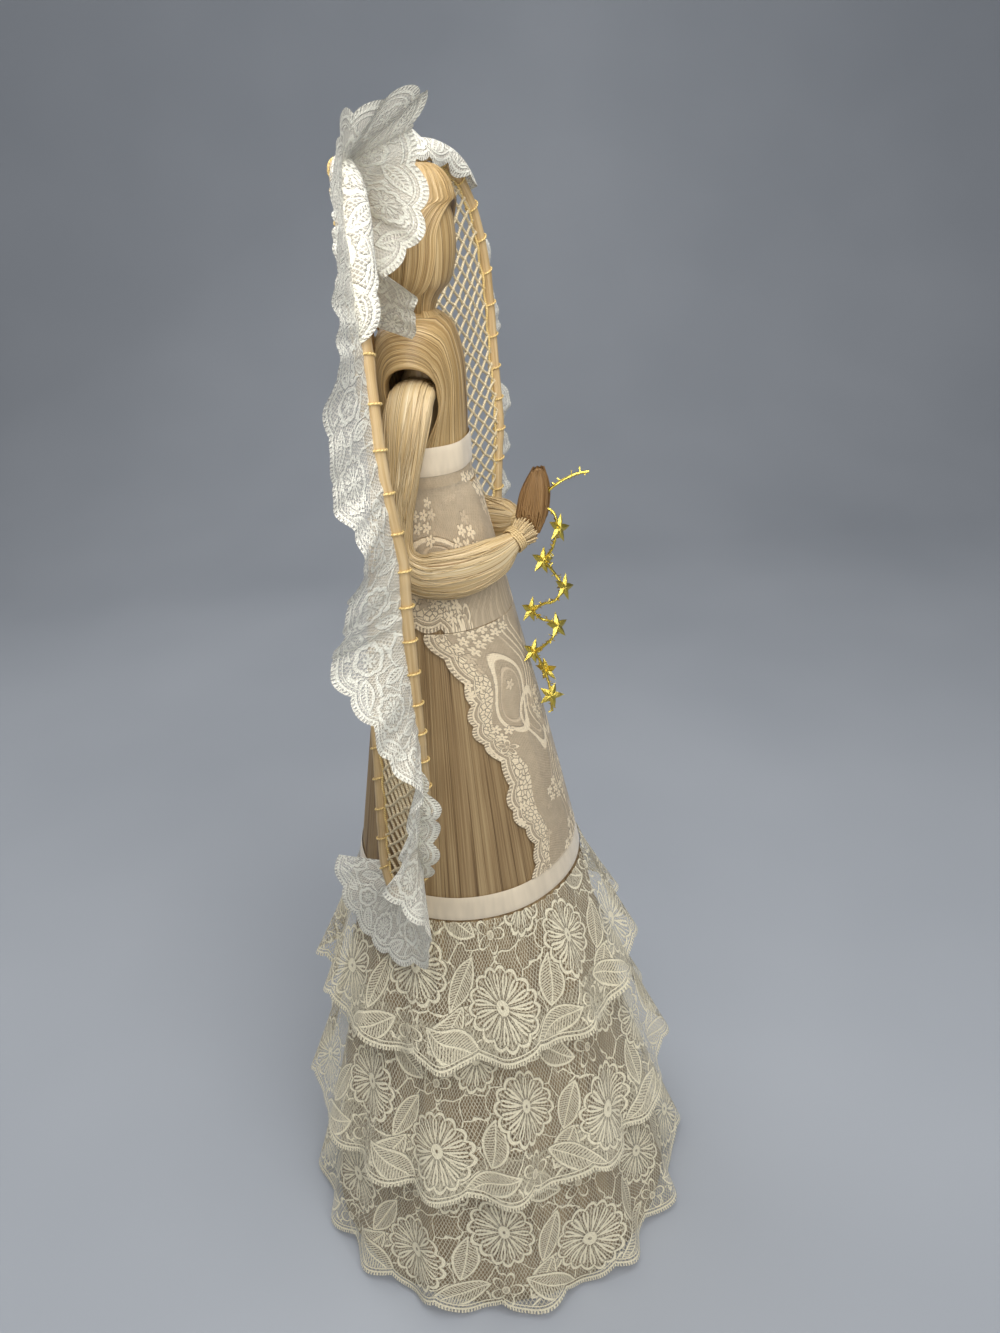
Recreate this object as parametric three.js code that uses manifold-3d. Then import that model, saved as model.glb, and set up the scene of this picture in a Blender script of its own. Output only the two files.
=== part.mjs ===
// Straw angel figurine: a fibre-covered card cone with lace flounces, fibre arms and head, two cane
// wings with knotted net, and a wire star garland. Millimetres, +Z up, the figure faces -Y, its right
// side is -X. The origin is the centre of the skirt's foot.
import * as THREE from "three";
import { mergeVertices } from "three/addons/utils/BufferGeometryUtils.js";
import Module from "manifold-3d";

const wasm = await Module();
wasm.setup();

// General
const GAP = 0.3;
const CUT_PAST = 1;
const ROUND_SIDES = 40;
const SMALL_ROUND_SIDES = 12;

// Cone and straw skirt
const SKIRT_HEIGHT = 350;
const SKIRT_FOOT_RADIUS = 82;
const SKIRT_TOP_RADIUS = 15;
const STRAW_THICKNESS = 1.6;
const STRAW_LIFT = 1;
const CARD_THICKNESS = 1.4;
const CARD_DROP = 1;

// Ribbons
const RIBBON_WIDTH = 9.5;
const RIBBON_THICKNESS = 0.6;
const SKIRT_RIBBON_HEIGHT = 195;
const BUST_RIBBON_RISE = 10;
const BUST_RIBBON_HEIGHT = SKIRT_HEIGHT + BUST_RIBBON_RISE;

// Lace
const LACE_THICKNESS = 0.8;
const TIER_FOLDS = 14;
const TIER_STEPS_PER_FOLD = 5;
const TIER_RIPPLE = 3.4;
const TIER_WANDER = 0.12;
const TIER_TUCK = 11;
const UPPER_TIER = { hemHeight: 133, flare: 12.6 };
const MIDDLE_TIER = { hemHeight: 68, flare: 13.5 };
const LOWER_TIER = { hemHeight: 3, flare: 7.1 };
const TIER_ROWS = 3;
const BODICE_BOTTOM = 302;
const BODICE_TOP = SKIRT_HEIGHT - 1;
const APRON_TOP_ANGLE = 79;
const APRON_BOTTOM_ANGLE = 38;
const APRON_COLUMNS = 16;
const APRON_SCALLOPS = 6;
const APRON_SCALLOP_DEPTH = 3;

// Shoulder cape, its armholes and the core inside it; every rise counts from the piece below
const CAPE_HALF_DEPTH = 14;
const CAPE_HALF_WIDTH = 21.8;
const CAPE_WAIST_HALF_WIDTH = 16;
const SHOULDER_RISE = 38;
const SHOULDER_HEIGHT = SKIRT_HEIGHT + SHOULDER_RISE;
const NECK_RISE = 16.5;
const NECK_BASE_HEIGHT = SHOULDER_HEIGHT + NECK_RISE;
const NECK_BASE_HALF_WIDTH = 9;
const ARMHOLE_RADIUS = 8.2;
const ARMHOLE_RISE = 4;
const ARMHOLE_TOP = SHOULDER_HEIGHT + ARMHOLE_RISE;
const ARMHOLE_SINK = 10;
const ARMHOLE_BOTTOM = SKIRT_HEIGHT - ARMHOLE_SINK;
const ARMHOLE_Y = -1;
const CAPE_SIDES = 32;
const CAPE_WAIST_DEPTH_SHARE = 0.97;
const CORE_HALF_WIDTH = 9;
const CORE_DROP = 3;
const CORE_TOP = ARMHOLE_TOP - CORE_DROP;
const CORE_PLUG_DEPTH = 24;
const CORE_PLUG_RISE = 10;
const CORE_PLUG_TOP = SKIRT_HEIGHT + CORE_PLUG_RISE;
const CORE_TOP_DEPTH_SHARE = 0.6;
const CORE_SIDES = 24;

// Head and hair
const HEAD_RADIUS = 13;
const HEAD_RISE = 23.5;
const HEAD_HEIGHT = NECK_BASE_HEIGHT + HEAD_RISE;
const HEAD_Y = -0.5;
const NECK_RADIUS = 4.2;
const STEM_RADIUS = 2;
const STEM_IN_CORE = 14;
const HAIR_THICKNESS = 2.6;
const HAIR_LIFT = 0.9;
const CROWN_RISE = 19;
const CROWN_FORWARD = 4;
const HAIR_FALL = NECK_BASE_HEIGHT + HAIR_LIFT;
const FACE_HALF_WIDTH = 11;
const FACE_RISE = 8.5;
const FACE_TOP = HEAD_HEIGHT + FACE_RISE;
const HEAD_SIDES = 24;
const HEAD_BANDS = 8;
const HAIR_SIDES = 28;

// Thread windings
const THREAD_RADIUS = 0.5;
const THREAD_CLEAR = 0.5;
const NECK_TURNS = 2;
const WRIST_TURNS = 2;
const LASHING_TURNS = 3;
const STEPS_PER_TURN = 12;
const THREAD_SIDES = 5;

// Arms and hands; these places, and the garland's, are measured from the centre of the skirt's top
const SHOULDER_PATH = [[-17, -1, 31.5], [-23, -0.3, 25], [-26, 2, 10], [-27.5, 4.6, -6]];
const FOREARM_PATH = [[-28.4, 4.6, -17.5], [-28.2, -0.5, -24], [-24.5, -12.5, -25.5], [-16.5, -23, -23.5]];
const WRIST = [-8.6, -29.6, -19.4];
const WRIST_RADIUS = 3.2;
const TUFT_LENGTH = 6;
const TUFT_RADIUS = 4.6;
const UPPER_ARM_HALF = [7, 5];
const LOW_UPPER_ARM_HALF = [5, 4.4];
const ELBOW_HALF = [3.8, 4];
const FOREARM_HALF = [9, 4.4];
const FOREARM_END_SHARE = 0.9;
const ARM_SIDES = 12;
const ARM_STEPS = 20;
const HAND_HALF_THICKNESS = 2.1;
const HAND_HALF_DEPTH = 4.6;
const HAND_BASE = [-3.2, -33.2, -20.5];
const HAND_TIP = [-1.6, -37, 1.5];
const HAND_SIDES = 14;

// Wings
const CANE_RADIUS = 2;
const WING_BOTTOM = 200;
const WING_HEIGHT = 248;
const WING_HALF_WIDTH = 38;
const WING_STANDOFF = 3.6;
const WING_SWEEP = 20.5;
const WING_TWIST = 38;
const WING_REACH = 37;
const WING_TUCK = 29;
const WING_TWIST_HEIGHT = 185;
const WING_TWIST_CURVE = 1.7;
const WING_SOFT_BEND = 2;
const WING_RINGS = 66;
const CANE_SIDES = 6;
const NET_THICKNESS = 0.8;
const NET_STRAND = 1.6;
const NET_CELL = 19;
const NET_BORDER = 1.9;
const LASHING_HEIGHT = 380;
const WING_LACE_FOLDS = 15;
const WING_LACE_RIPPLE = 3.2;
const LACE_STEPS_PER_FOLD = 6;
const LACE_ROWS = 2;
const WING_LACE_FIRST_SHARE = -0.025;
const WING_LACE_LAST_SHARE = 0.62;

// Garland
const WIRE_RADIUS = 0.5;
const STAR_RADIUS = 5;
const STAR_WAIST_SHARE = 0.42;
const STAR_THICKNESS = 0.5;
const STAR_POINTS = 5;
const STAR_SHARES = [0.1, 0.236, 0.35, 0.5, 0.61, 0.75, 0.84, 0.93];
const BEND_SHARE = 0.04;
const WIRE_SIDES = 8;
const WIRE_STEPS = 48;
const TIP_STEPS = 8;
const WIRE_ROUTE = [
  [0, -37.6, -12], [0, -40, -11.6], [-0.6, -42.4, -13.6], [-1, -42.8, -18.4], [-1.6, -41.3, -25], [0.5, -38.2, -31],
  [1.8, -41, -36.5], [0.4, -43.6, -41.2], [-1.6, -41.2, -45.4], [-1.6, -36.4, -47], [0.3, -33, -50.8],
  [1.8, -35.6, -54.6], [1, -40, -55.6], [-1.2, -40.2, -59.6], [-1.8, -36.8, -63.4], [0, -33, -67.2],
  [1.6, -34.8, -73.6], [0.8, -37, -80.4], [-0.6, -37.8, -86.4], [0, -38, -92.4],
];
const TIP_ROUTE = [[0, -38, -7], [0.4, -41, -4.6], [1.4, -45.4, -1.8], [2.4, -50, 0], [3, -54, 0.6]];

// Colours
const finish = (color, roughness, metalness = 0) =>
  new THREE.MeshStandardMaterial({ color, roughness, metalness });
const STRAW = finish(0xb8976a, 0.6);
const BLONDE = finish(0xdcbd85, 0.45);
const BROWN_FIBRE = finish(0xa06e36, 0.5);
const CARD = finish(0x9c8460, 0.9);
const THREAD = finish(0xd9c08c, 0.6);
const SATIN = finish(0xefe3cc, 0.35);
const IVORY_LACE = finish(0xefe6d4, 0.8);
const BLUSH_LACE = finish(0xe6d0ba, 0.8);
const WHITE_LACE = finish(0xf4f2ee, 0.8);
const CANE = finish(0xc79a5c, 0.5);
const NET = finish(0xe4cfa6, 0.6);
const GOLD = finish(0xd9b430, 0.25, 0.9);

const vec = (x, y, z) => new THREE.Vector3(x, y, z);
const onTop = ([x, y, z]) => vec(x, y, SKIRT_HEIGHT + z);
const blend = THREE.MathUtils.lerp;
const radians = THREE.MathUtils.degToRad;

// Radius of the straw's outer face at a height.
const skirtRadius = (z) => blend(SKIRT_FOOT_RADIUS, SKIRT_TOP_RADIUS, z / SKIRT_HEIGHT);

// Indexed geometry with its faces turned outwards.
function solidFrom(points, faces) {
  const volume = new THREE.Vector3();
  let sum = 0;
  for (let i = 0; i < faces.length; i += 3) {
    volume.crossVectors(points[faces[i + 1]], points[faces[i + 2]]);
    sum += points[faces[i]].dot(volume);
  }
  const index = sum < 0 ? faces.slice().reverse() : faces;
  const geometry = new THREE.BufferGeometry().setFromPoints(points);
  geometry.setIndex(index);
  return geometry;
}

// Solid through rings of points, with flat caps, or joined end to end.
function loft(rings, endless = false) {
  const count = rings[0].length;
  const faces = [];
  const bands = endless ? rings.length : rings.length - 1;
  for (let r = 0; r < bands; r++) {
    const next = ((r + 1) % rings.length) * count;
    for (let i = 0; i < count; i++) {
      const j = (i + 1) % count;
      faces.push(r * count + i, r * count + j, next + j);
      faces.push(r * count + i, next + j, next + i);
    }
  }
  if (!endless) {
    const last = (rings.length - 1) * count;
    for (let i = 1; i + 1 < count; i++) {
      faces.push(0, i + 1, i);
      faces.push(last, last + i, last + i + 1);
    }
  }
  return solidFrom(rings.flat(), faces);
}

// Level ring of an oval.
function oval(z, halfWidth, halfDepth, sides = ROUND_SIDES, x = 0, y = 0) {
  return Array.from({ length: sides }, (_, i) => {
    const angle = (2 * Math.PI * i) / sides;
    return vec(x + halfWidth * Math.cos(angle), y + halfDepth * Math.sin(angle), z);
  });
}

// Cloth of even thickness about a surface(u, v), u going round when it is endless.
function cloth(surface, across, down, thickness, endless = false) {
  const step = 1e-3;
  const sheet = (side) => {
    const rows = [];
    for (let i = 0; i < (endless ? across : across + 1); i++)
      for (let j = 0; j <= down; j++) {
        const u = i / across;
        const v = j / down;
        const alongU = surface(u + step, v).sub(surface(u - step, v));
        const alongV = surface(u, v + step).sub(surface(u, v - step));
        const normal = alongU.cross(alongV).normalize();
        rows.push(surface(u, v).addScaledVector(normal, (side * thickness) / 2));
      }
    return rows;
  };
  const front = sheet(1);
  const points = [...front, ...sheet(-1)];
  const back = front.length;
  const columns = endless ? across : across + 1;
  const at = (i, j) => (i % columns) * (down + 1) + j;
  const faces = [];
  const quad = (a, b, c, d) => faces.push(a, b, c, a, c, d);
  for (let i = 0; i < across; i++) {
    for (let j = 0; j < down; j++) {
      quad(at(i, j), at(i + 1, j), at(i + 1, j + 1), at(i, j + 1));
      quad(back + at(i, j), back + at(i, j + 1), back + at(i + 1, j + 1), back + at(i + 1, j));
    }
    quad(at(i, 0), back + at(i, 0), back + at(i + 1, 0), at(i + 1, 0));
    quad(at(i + 1, down), back + at(i + 1, down), back + at(i, down), at(i, down));
  }
  if (!endless)
    for (let j = 0; j < down; j++) {
      quad(at(0, j + 1), back + at(0, j + 1), back + at(0, j), at(0, j));
      quad(at(across, j), back + at(across, j), back + at(across, j + 1), at(across, j + 1));
    }
  return solidFrom(points, faces);
}

// Round tube along a curve, with flat ends.
function tube(curve, radius, sides, steps) {
  const section = new THREE.Shape(
    Array.from({ length: sides }, (_, i) => {
      const angle = (2 * Math.PI * i) / sides;
      return new THREE.Vector2(radius * Math.cos(angle), radius * Math.sin(angle));
    }),
  );
  return new THREE.ExtrudeGeometry(section, { steps, extrudePath: curve });
}

// Closed solid of revolution from [radius, height] pairs.
function revolve(profile, sides = ROUND_SIDES) {
  const points = profile.map(([radius, height]) => new THREE.Vector2(radius, height));
  const geometry = new THREE.LatheGeometry(points, sides);
  return geometry.rotateX(Math.PI / 2);
}

// Booleans on closed geometries.
function toManifold(geometry) {
  const bare = geometry.clone();
  bare.deleteAttribute("normal");
  bare.deleteAttribute("uv");
  const merged = mergeVertices(bare, 1e-4);
  const vertProperties = new Float32Array(merged.attributes.position.array);
  const triVerts = new Uint32Array(merged.index.array);
  return new wasm.Manifold(new wasm.Mesh({ numProp: 3, vertProperties, triVerts }));
}

function cut(geometry, ...tools) {
  let solid = toManifold(geometry);
  for (const tool of tools) solid = solid.subtract(toManifold(tool));
  const mesh = solid.getMesh();
  const result = new THREE.BufferGeometry();
  result.setAttribute("position", new THREE.BufferAttribute(new Float32Array(mesh.vertProperties), 3));
  result.setIndex(new THREE.BufferAttribute(new Uint32Array(mesh.triVerts), 1));
  return result;
}

const angel = new THREE.Group();
const rightSide = new THREE.Group();
const leftSide = new THREE.Group();
leftSide.scale.x = -1;
angel.add(rightSide, leftSide);

function add(name, geometry, material, parent = angel) {
  const mesh = new THREE.Mesh(geometry, material);
  mesh.name = name;
  parent.add(mesh);
  return mesh;
}

// The same piece on both sides, mirrored on the left.
function addPair(name, geometry, material) {
  add(`right_${name}`, geometry, material, rightSide);
  add(`left_${name}`, geometry, material, leftSide);
}

// Wound thread about a straight axis; its turns lie clear of each other.
function winding(radius, turns) {
  const pitch = 2 * THREAD_RADIUS + THREAD_CLEAR;
  class Helix extends THREE.Curve {
    getPoint(t, target = new THREE.Vector3()) {
      const angle = 2 * Math.PI * turns * t;
      return target.set(radius * Math.cos(angle), radius * Math.sin(angle), pitch * turns * (t - 0.5));
    }
  }
  return { curve: new Helix(), steps: turns * STEPS_PER_TURN };
}

// Least distance between the faces of neighbouring turns, measured on points of the centreline.
function leastGap({ curve, steps }) {
  const points = curve.getSpacedPoints(steps * 2);
  const halfTurn = STEPS_PER_TURN;
  let least = Infinity;
  points.forEach((a, i) => {
    for (const b of points.slice(i + halfTurn)) least = Math.min(least, a.distanceTo(b));
  });
  return least - 2 * THREAD_RADIUS;
}

function threadTie(radius, turns) {
  const wound = winding(radius, turns);
  console.log(`winding of ${turns} turns: least gap ${leastGap(wound).toFixed(2)} mm`);
  return tube(wound.curve, THREAD_RADIUS, THREAD_SIDES, wound.steps);
}

const threadRadiusOn = (radius) => radius + GAP + THREAD_RADIUS;

// Card cone and the straw over it.
function ringShell(outer, thickness, bottom, top) {
  return revolve([
    [outer(bottom), bottom],
    [outer(top), top],
    [outer(top) - thickness, top],
    [outer(bottom) - thickness, bottom],
    [outer(bottom), bottom],
  ]);
}

const cardRadius = (z) => skirtRadius(z) - STRAW_THICKNESS - GAP;
const cardTop = SKIRT_HEIGHT - CARD_DROP;
add("card_cone", ringShell(cardRadius, CARD_THICKNESS, 0, cardTop), CARD);
add("straw_skirt", ringShell(skirtRadius, STRAW_THICKNESS, STRAW_LIFT, SKIRT_HEIGHT), STRAW);

// Ribbons, and the lace that lies flat on the straw.
const onSkirt = (thickness) => (z) => skirtRadius(z) + GAP + thickness;
const ribbonBottom = SKIRT_RIBBON_HEIGHT - RIBBON_WIDTH / 2;
const ribbonTop = SKIRT_RIBBON_HEIGHT + RIBBON_WIDTH / 2;
add("skirt_ribbon", ringShell(onSkirt(RIBBON_THICKNESS), RIBBON_THICKNESS, ribbonBottom, ribbonTop), SATIN);
add("bodice_lace", ringShell(onSkirt(LACE_THICKNESS), LACE_THICKNESS, BODICE_BOTTOM, BODICE_TOP), BLUSH_LACE);

function apron() {
  const top = BODICE_BOTTOM - GAP;
  const bottom = ribbonTop + GAP;
  const surface = (u, v) => {
    const edge = blend(APRON_TOP_ANGLE, APRON_BOTTOM_ANGLE, Math.sin((v * Math.PI) / 2));
    const scallop = Math.abs(Math.sin(v * APRON_SCALLOPS * Math.PI)) * APRON_SCALLOP_DEPTH;
    const z = blend(top, bottom, v);
    const facet = Math.cos(radians(edge) / APRON_COLUMNS);
    const radius = (skirtRadius(z) + GAP + LACE_THICKNESS / 2) / facet;
    const angle = (2 * u - 1) * (radians(edge) + scallop / radius);
    return vec(radius * Math.sin(angle), -radius * Math.cos(angle), z);
  };
  return cloth(surface, APRON_COLUMNS, 2 * APRON_SCALLOPS, LACE_THICKNESS);
}
add("apron_lace", apron(), BLUSH_LACE);

// Gathered flounces: flat at the gathered edge, deep folds at the hem. The top of each is tucked under
// the piece above it, and flare is how far the hem stands out from the straw.
function flounce({ hemHeight, flare }, topHeight) {
  const topRadius = skirtRadius(topHeight) + GAP + LACE_THICKNESS / 2;
  const hemRadius = skirtRadius(hemHeight) + flare;
  const surface = (u, v) => {
    const angle = 2 * Math.PI * u;
    const fold = Math.cos(TIER_FOLDS * (angle + TIER_WANDER * Math.sin(2 * angle)));
    const radius = blend(topRadius, hemRadius, v) + TIER_RIPPLE * v * fold;
    return vec(radius * Math.cos(angle), radius * Math.sin(angle), blend(topHeight, hemHeight, v));
  };
  return cloth(surface, TIER_FOLDS * TIER_STEPS_PER_FOLD, TIER_ROWS, LACE_THICKNESS, true);
}
add("lace_tier_upper", flounce(UPPER_TIER, ribbonBottom - GAP), IVORY_LACE);
add("lace_tier_middle", flounce(MIDDLE_TIER, UPPER_TIER.hemHeight + TIER_TUCK), IVORY_LACE);
add("lace_tier_lower", flounce(LOWER_TIER, MIDDLE_TIER.hemHeight + TIER_TUCK), IVORY_LACE);

// Core: a plug in the cone's mouth and a narrow column inside the cape.
const coreHalfDepth = ARMHOLE_RADIUS - GAP;
const plugRadius = cardRadius(cardTop) - CARD_THICKNESS - GAP;
const stemHole = (bottom, top) =>
  new THREE.CylinderGeometry(STEM_RADIUS + GAP, STEM_RADIUS + GAP, top - bottom, SMALL_ROUND_SIDES)
    .rotateX(Math.PI / 2)
    .translate(0, ARMHOLE_Y, (bottom + top) / 2);
const stemBottom = CORE_TOP - STEM_IN_CORE;
const coreRing = (z, halfWidth, depthShare = 1) =>
  oval(z, halfWidth, depthShare * coreHalfDepth, CORE_SIDES, 0, ARMHOLE_Y);
const core = loft([
  coreRing(cardTop - CORE_PLUG_DEPTH, plugRadius),
  coreRing(CORE_PLUG_TOP, plugRadius),
  coreRing(ARMHOLE_TOP - 2 * ARMHOLE_RADIUS, CORE_HALF_WIDTH),
  coreRing(ARMHOLE_TOP - ARMHOLE_RADIUS, CORE_HALF_WIDTH),
  coreRing(CORE_TOP, CORE_HALF_WIDTH, CORE_TOP_DEPTH_SHARE),
]);
add("torso_core", cut(core, stemHole(stemBottom - GAP, CORE_TOP + CUT_PAST)), STRAW);

// Shoulder cape: an oval bust, hollowed by the arched armholes from side to side.
function armholeChannel() {
  const spring = ARMHOLE_TOP - ARMHOLE_RADIUS;
  const arch = new THREE.Shape();
  arch.moveTo(-ARMHOLE_RADIUS, ARMHOLE_BOTTOM);
  arch.lineTo(ARMHOLE_RADIUS, ARMHOLE_BOTTOM);
  arch.lineTo(ARMHOLE_RADIUS, spring);
  arch.absarc(0, spring, ARMHOLE_RADIUS, 0, Math.PI);
  const length = 4 * CAPE_HALF_WIDTH;
  const channel = new THREE.ExtrudeGeometry(arch, { depth: length, bevelEnabled: false });
  channel.translate(0, 0, -length / 2);
  channel.rotateX(Math.PI / 2);
  channel.rotateZ(Math.PI / 2);
  return channel.translate(0, ARMHOLE_Y, 0);
}
const capeBottom = SKIRT_HEIGHT + GAP;
const bustRibbonTop = BUST_RIBBON_HEIGHT + RIBBON_WIDTH / 2;
const capeRise = NECK_BASE_HEIGHT - SHOULDER_HEIGHT;
const capeRing = (z, halfWidth, depthShare) => oval(z, halfWidth, depthShare * CAPE_HALF_DEPTH, CAPE_SIDES);
const cape = loft([
  capeRing(capeBottom, CAPE_WAIST_HALF_WIDTH, CAPE_WAIST_DEPTH_SHARE),
  capeRing(bustRibbonTop, CAPE_WAIST_HALF_WIDTH, CAPE_WAIST_DEPTH_SHARE),
  capeRing(blend(bustRibbonTop, SHOULDER_HEIGHT, 0.5), 0.9 * CAPE_HALF_WIDTH, 1),
  capeRing(SHOULDER_HEIGHT, CAPE_HALF_WIDTH, 1),
  capeRing(SHOULDER_HEIGHT + 0.4 * capeRise, 0.96 * CAPE_HALF_WIDTH, 0.93),
  capeRing(SHOULDER_HEIGHT + 0.75 * capeRise, 0.78 * CAPE_HALF_WIDTH, 0.8),
  capeRing(NECK_BASE_HEIGHT, NECK_BASE_HALF_WIDTH, 0.5),
]);
const capeStemHole = stemHole(ARMHOLE_TOP - CUT_PAST, NECK_BASE_HEIGHT + CUT_PAST);
add("shoulder_cape", cut(cape, armholeChannel(), capeStemHole), BLONDE);

// The bust ribbon goes round the cape, over its front and back.
function bustRibbon() {
  const reach = GAP + RIBBON_THICKNESS / 2;
  const surface = (u, v) => {
    const angle = 2 * Math.PI * u;
    const x = (CAPE_WAIST_HALF_WIDTH + reach) * Math.cos(angle);
    const y = (CAPE_WAIST_DEPTH_SHARE * CAPE_HALF_DEPTH + reach) * Math.sin(angle);
    return vec(x, y, bustRibbonTop - RIBBON_WIDTH * v);
  };
  return cloth(surface, ROUND_SIDES, 1, RIBBON_THICKNESS, true);
}
add("bust_ribbon", bustRibbon(), SATIN);

// Head, neck and hair.
const neckBottom = NECK_BASE_HEIGHT + GAP;
const stemTop = HEAD_HEIGHT;
function headProfile(extra) {
  const radius = HEAD_RADIUS + extra;
  const meet = Math.asin((NECK_RADIUS + extra) / radius);
  const arc = Array.from({ length: HEAD_BANDS + 1 }, (_, i) => blend(meet, Math.PI, i / HEAD_BANDS));
  const ball = arc.map((a) => [radius * Math.sin(a), HEAD_HEIGHT - radius * Math.cos(a)]);
  ball[ball.length - 1][0] = 0;
  return [[0, neckBottom], [NECK_RADIUS + extra, neckBottom], ...ball];
}
const head = revolve(headProfile(0), HEAD_SIDES).translate(0, HEAD_Y, 0);
add("head_ball", cut(head, stemHole(neckBottom - CUT_PAST, stemTop + GAP)), BLONDE);
const stem = new THREE.CylinderGeometry(STEM_RADIUS, STEM_RADIUS, stemTop - stemBottom, SMALL_ROUND_SIDES);
stem.rotateX(Math.PI / 2).translate(0, ARMHOLE_Y, (stemTop + stemBottom) / 2);
add("neck_stem", stem, CANE);
const neckTie = threadTie(threadRadiusOn(NECK_RADIUS), NECK_TURNS);
const tieHeight = NECK_TURNS * (2 * THREAD_RADIUS + THREAD_CLEAR);
add("neck_tie", neckTie.translate(0, HEAD_Y, neckBottom + tieHeight / 2 + THREAD_RADIUS), THREAD);

function hairShell() {
  const reach = HEAD_RADIUS + HAIR_THICKNESS;
  const ring = (z, share, forward = 0) => {
    const middle = HEAD_Y - CROWN_FORWARD * forward;
    return oval(z, reach * share, reach * share, HAIR_SIDES, 0, middle);
  };
  const crownRing = (rise, share) => ring(HEAD_HEIGHT + CROWN_RISE * rise, share, rise * rise);
  const outer = loft([
    ring(HAIR_FALL, 0.72),
    ring(blend(HAIR_FALL, HEAD_HEIGHT, 0.3), 0.88),
    ring(blend(HAIR_FALL, HEAD_HEIGHT, 0.65), 0.99),
    ring(HEAD_HEIGHT + 1, 1.02),
    crownRing(0.45, 0.94),
    crownRing(0.75, 0.72),
    crownRing(0.93, 0.42),
    crownRing(1, 0.1),
  ]);
  const skull = revolve(headProfile(GAP), HEAD_SIDES).translate(0, HEAD_Y, 0);
  const collar = threadRadiusOn(NECK_RADIUS) + THREAD_RADIUS + GAP;
  const napeDepth = HEAD_HEIGHT - HEAD_RADIUS - HAIR_FALL;
  const nape = new THREE.CylinderGeometry(collar, collar, 2 * napeDepth, SMALL_ROUND_SIDES);
  nape.rotateX(Math.PI / 2).translate(0, HEAD_Y, HAIR_FALL);
  const face = new THREE.Shape();
  const brow = FACE_TOP - FACE_HALF_WIDTH;
  face.moveTo(-FACE_HALF_WIDTH, HAIR_FALL - CUT_PAST);
  face.lineTo(FACE_HALF_WIDTH, HAIR_FALL - CUT_PAST);
  face.lineTo(FACE_HALF_WIDTH, brow);
  face.absarc(0, brow, FACE_HALF_WIDTH, 0, Math.PI);
  const depth = 2 * reach;
  const opening = new THREE.ExtrudeGeometry(face, { depth, bevelEnabled: false, curveSegments: 8 });
  opening.rotateX(Math.PI / 2).translate(0, HEAD_Y, 0);
  return cut(outer, skull, nape, opening);
}
add("hair", hairShell(), BLONDE);

// Hands: flat fingers of brown fibre, pointed at the tip, the two palms facing each other.
function hand(extra = 0) {
  const base = onTop(HAND_BASE);
  const tip = onTop(HAND_TIP);
  const ring = (share, thick, deep) => {
    const centre = base.clone().lerp(tip, share);
    const halfWidth = HAND_HALF_THICKNESS * thick + extra;
    return oval(centre.z, halfWidth, HAND_HALF_DEPTH * deep + extra, HAND_SIDES, centre.x, centre.y);
  };
  return loft([
    ring(0 - extra / HAND_HALF_DEPTH, 0.75, 0.62),
    ring(0.25, 1, 0.95),
    ring(0.5, 1, 1),
    ring(0.75, 0.8, 0.72),
    ring(1 + extra / HAND_HALF_DEPTH, 0.3, 0.2),
  ]);
}
addPair("hand", hand(), BROWN_FIBRE);

// Arms: fibre bundles swept from the armhole round the elbow to the tied wrist and its tuft.
const wrist = onTop(WRIST);
const forearmEnd = onTop(FOREARM_PATH[FOREARM_PATH.length - 1]);
const wristDirection = wrist.clone().sub(forearmEnd).normalize();
function arm() {
  const start = onTop(SHOULDER_PATH[0]).setX(-CORE_HALF_WIDTH - GAP);
  const tuftEnd = wrist.clone().addScaledVector(wristDirection, TUFT_LENGTH);
  const path = [start, ...[...SHOULDER_PATH, ...FOREARM_PATH].map(onTop), wrist, tuftEnd];
  const halves = [
    UPPER_ARM_HALF, UPPER_ARM_HALF, UPPER_ARM_HALF, LOW_UPPER_ARM_HALF, ELBOW_HALF, ELBOW_HALF,
    FOREARM_HALF, FOREARM_HALF, [FOREARM_END_SHARE * FOREARM_HALF[0], FOREARM_HALF[1]],
    [WRIST_RADIUS, WRIST_RADIUS], [TUFT_RADIUS, 0.9 * TUFT_RADIUS],
  ];
  const curve = new THREE.CatmullRomCurve3(path, false, "centripetal");
  const sizes = new THREE.SplineCurve(halves.map(([wide, thin]) => new THREE.Vector2(wide, thin)));
  const rings = [];
  const wide = vec(0, 1, 0);
  for (let i = 0; i <= ARM_STEPS; i++) {
    const t = i / ARM_STEPS;
    const tangent = curve.getTangent(t);
    wide.addScaledVector(tangent, -wide.dot(tangent)).normalize();
    const thin = tangent.clone().cross(wide);
    const centre = curve.getPoint(t);
    const half = sizes.getPoint(t);
    rings.push(Array.from({ length: ARM_SIDES }, (_, k) => {
      const angle = (2 * Math.PI * k) / ARM_SIDES;
      return centre.clone()
        .addScaledVector(wide, half.x * Math.cos(angle))
        .addScaledVector(thin, half.y * Math.sin(angle));
    }));
  }
  return cut(loft(rings), hand(GAP));
}
addPair("arm", arm(), BLONDE);

const wristTie = threadTie(threadRadiusOn(WRIST_RADIUS + GAP), WRIST_TURNS);
wristTie.applyQuaternion(new THREE.Quaternion().setFromUnitVectors(vec(0, 0, 1), wristDirection));
addPair("wrist_tie", wristTie.translate(wrist.x, wrist.y, wrist.z), THREAD);

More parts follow.
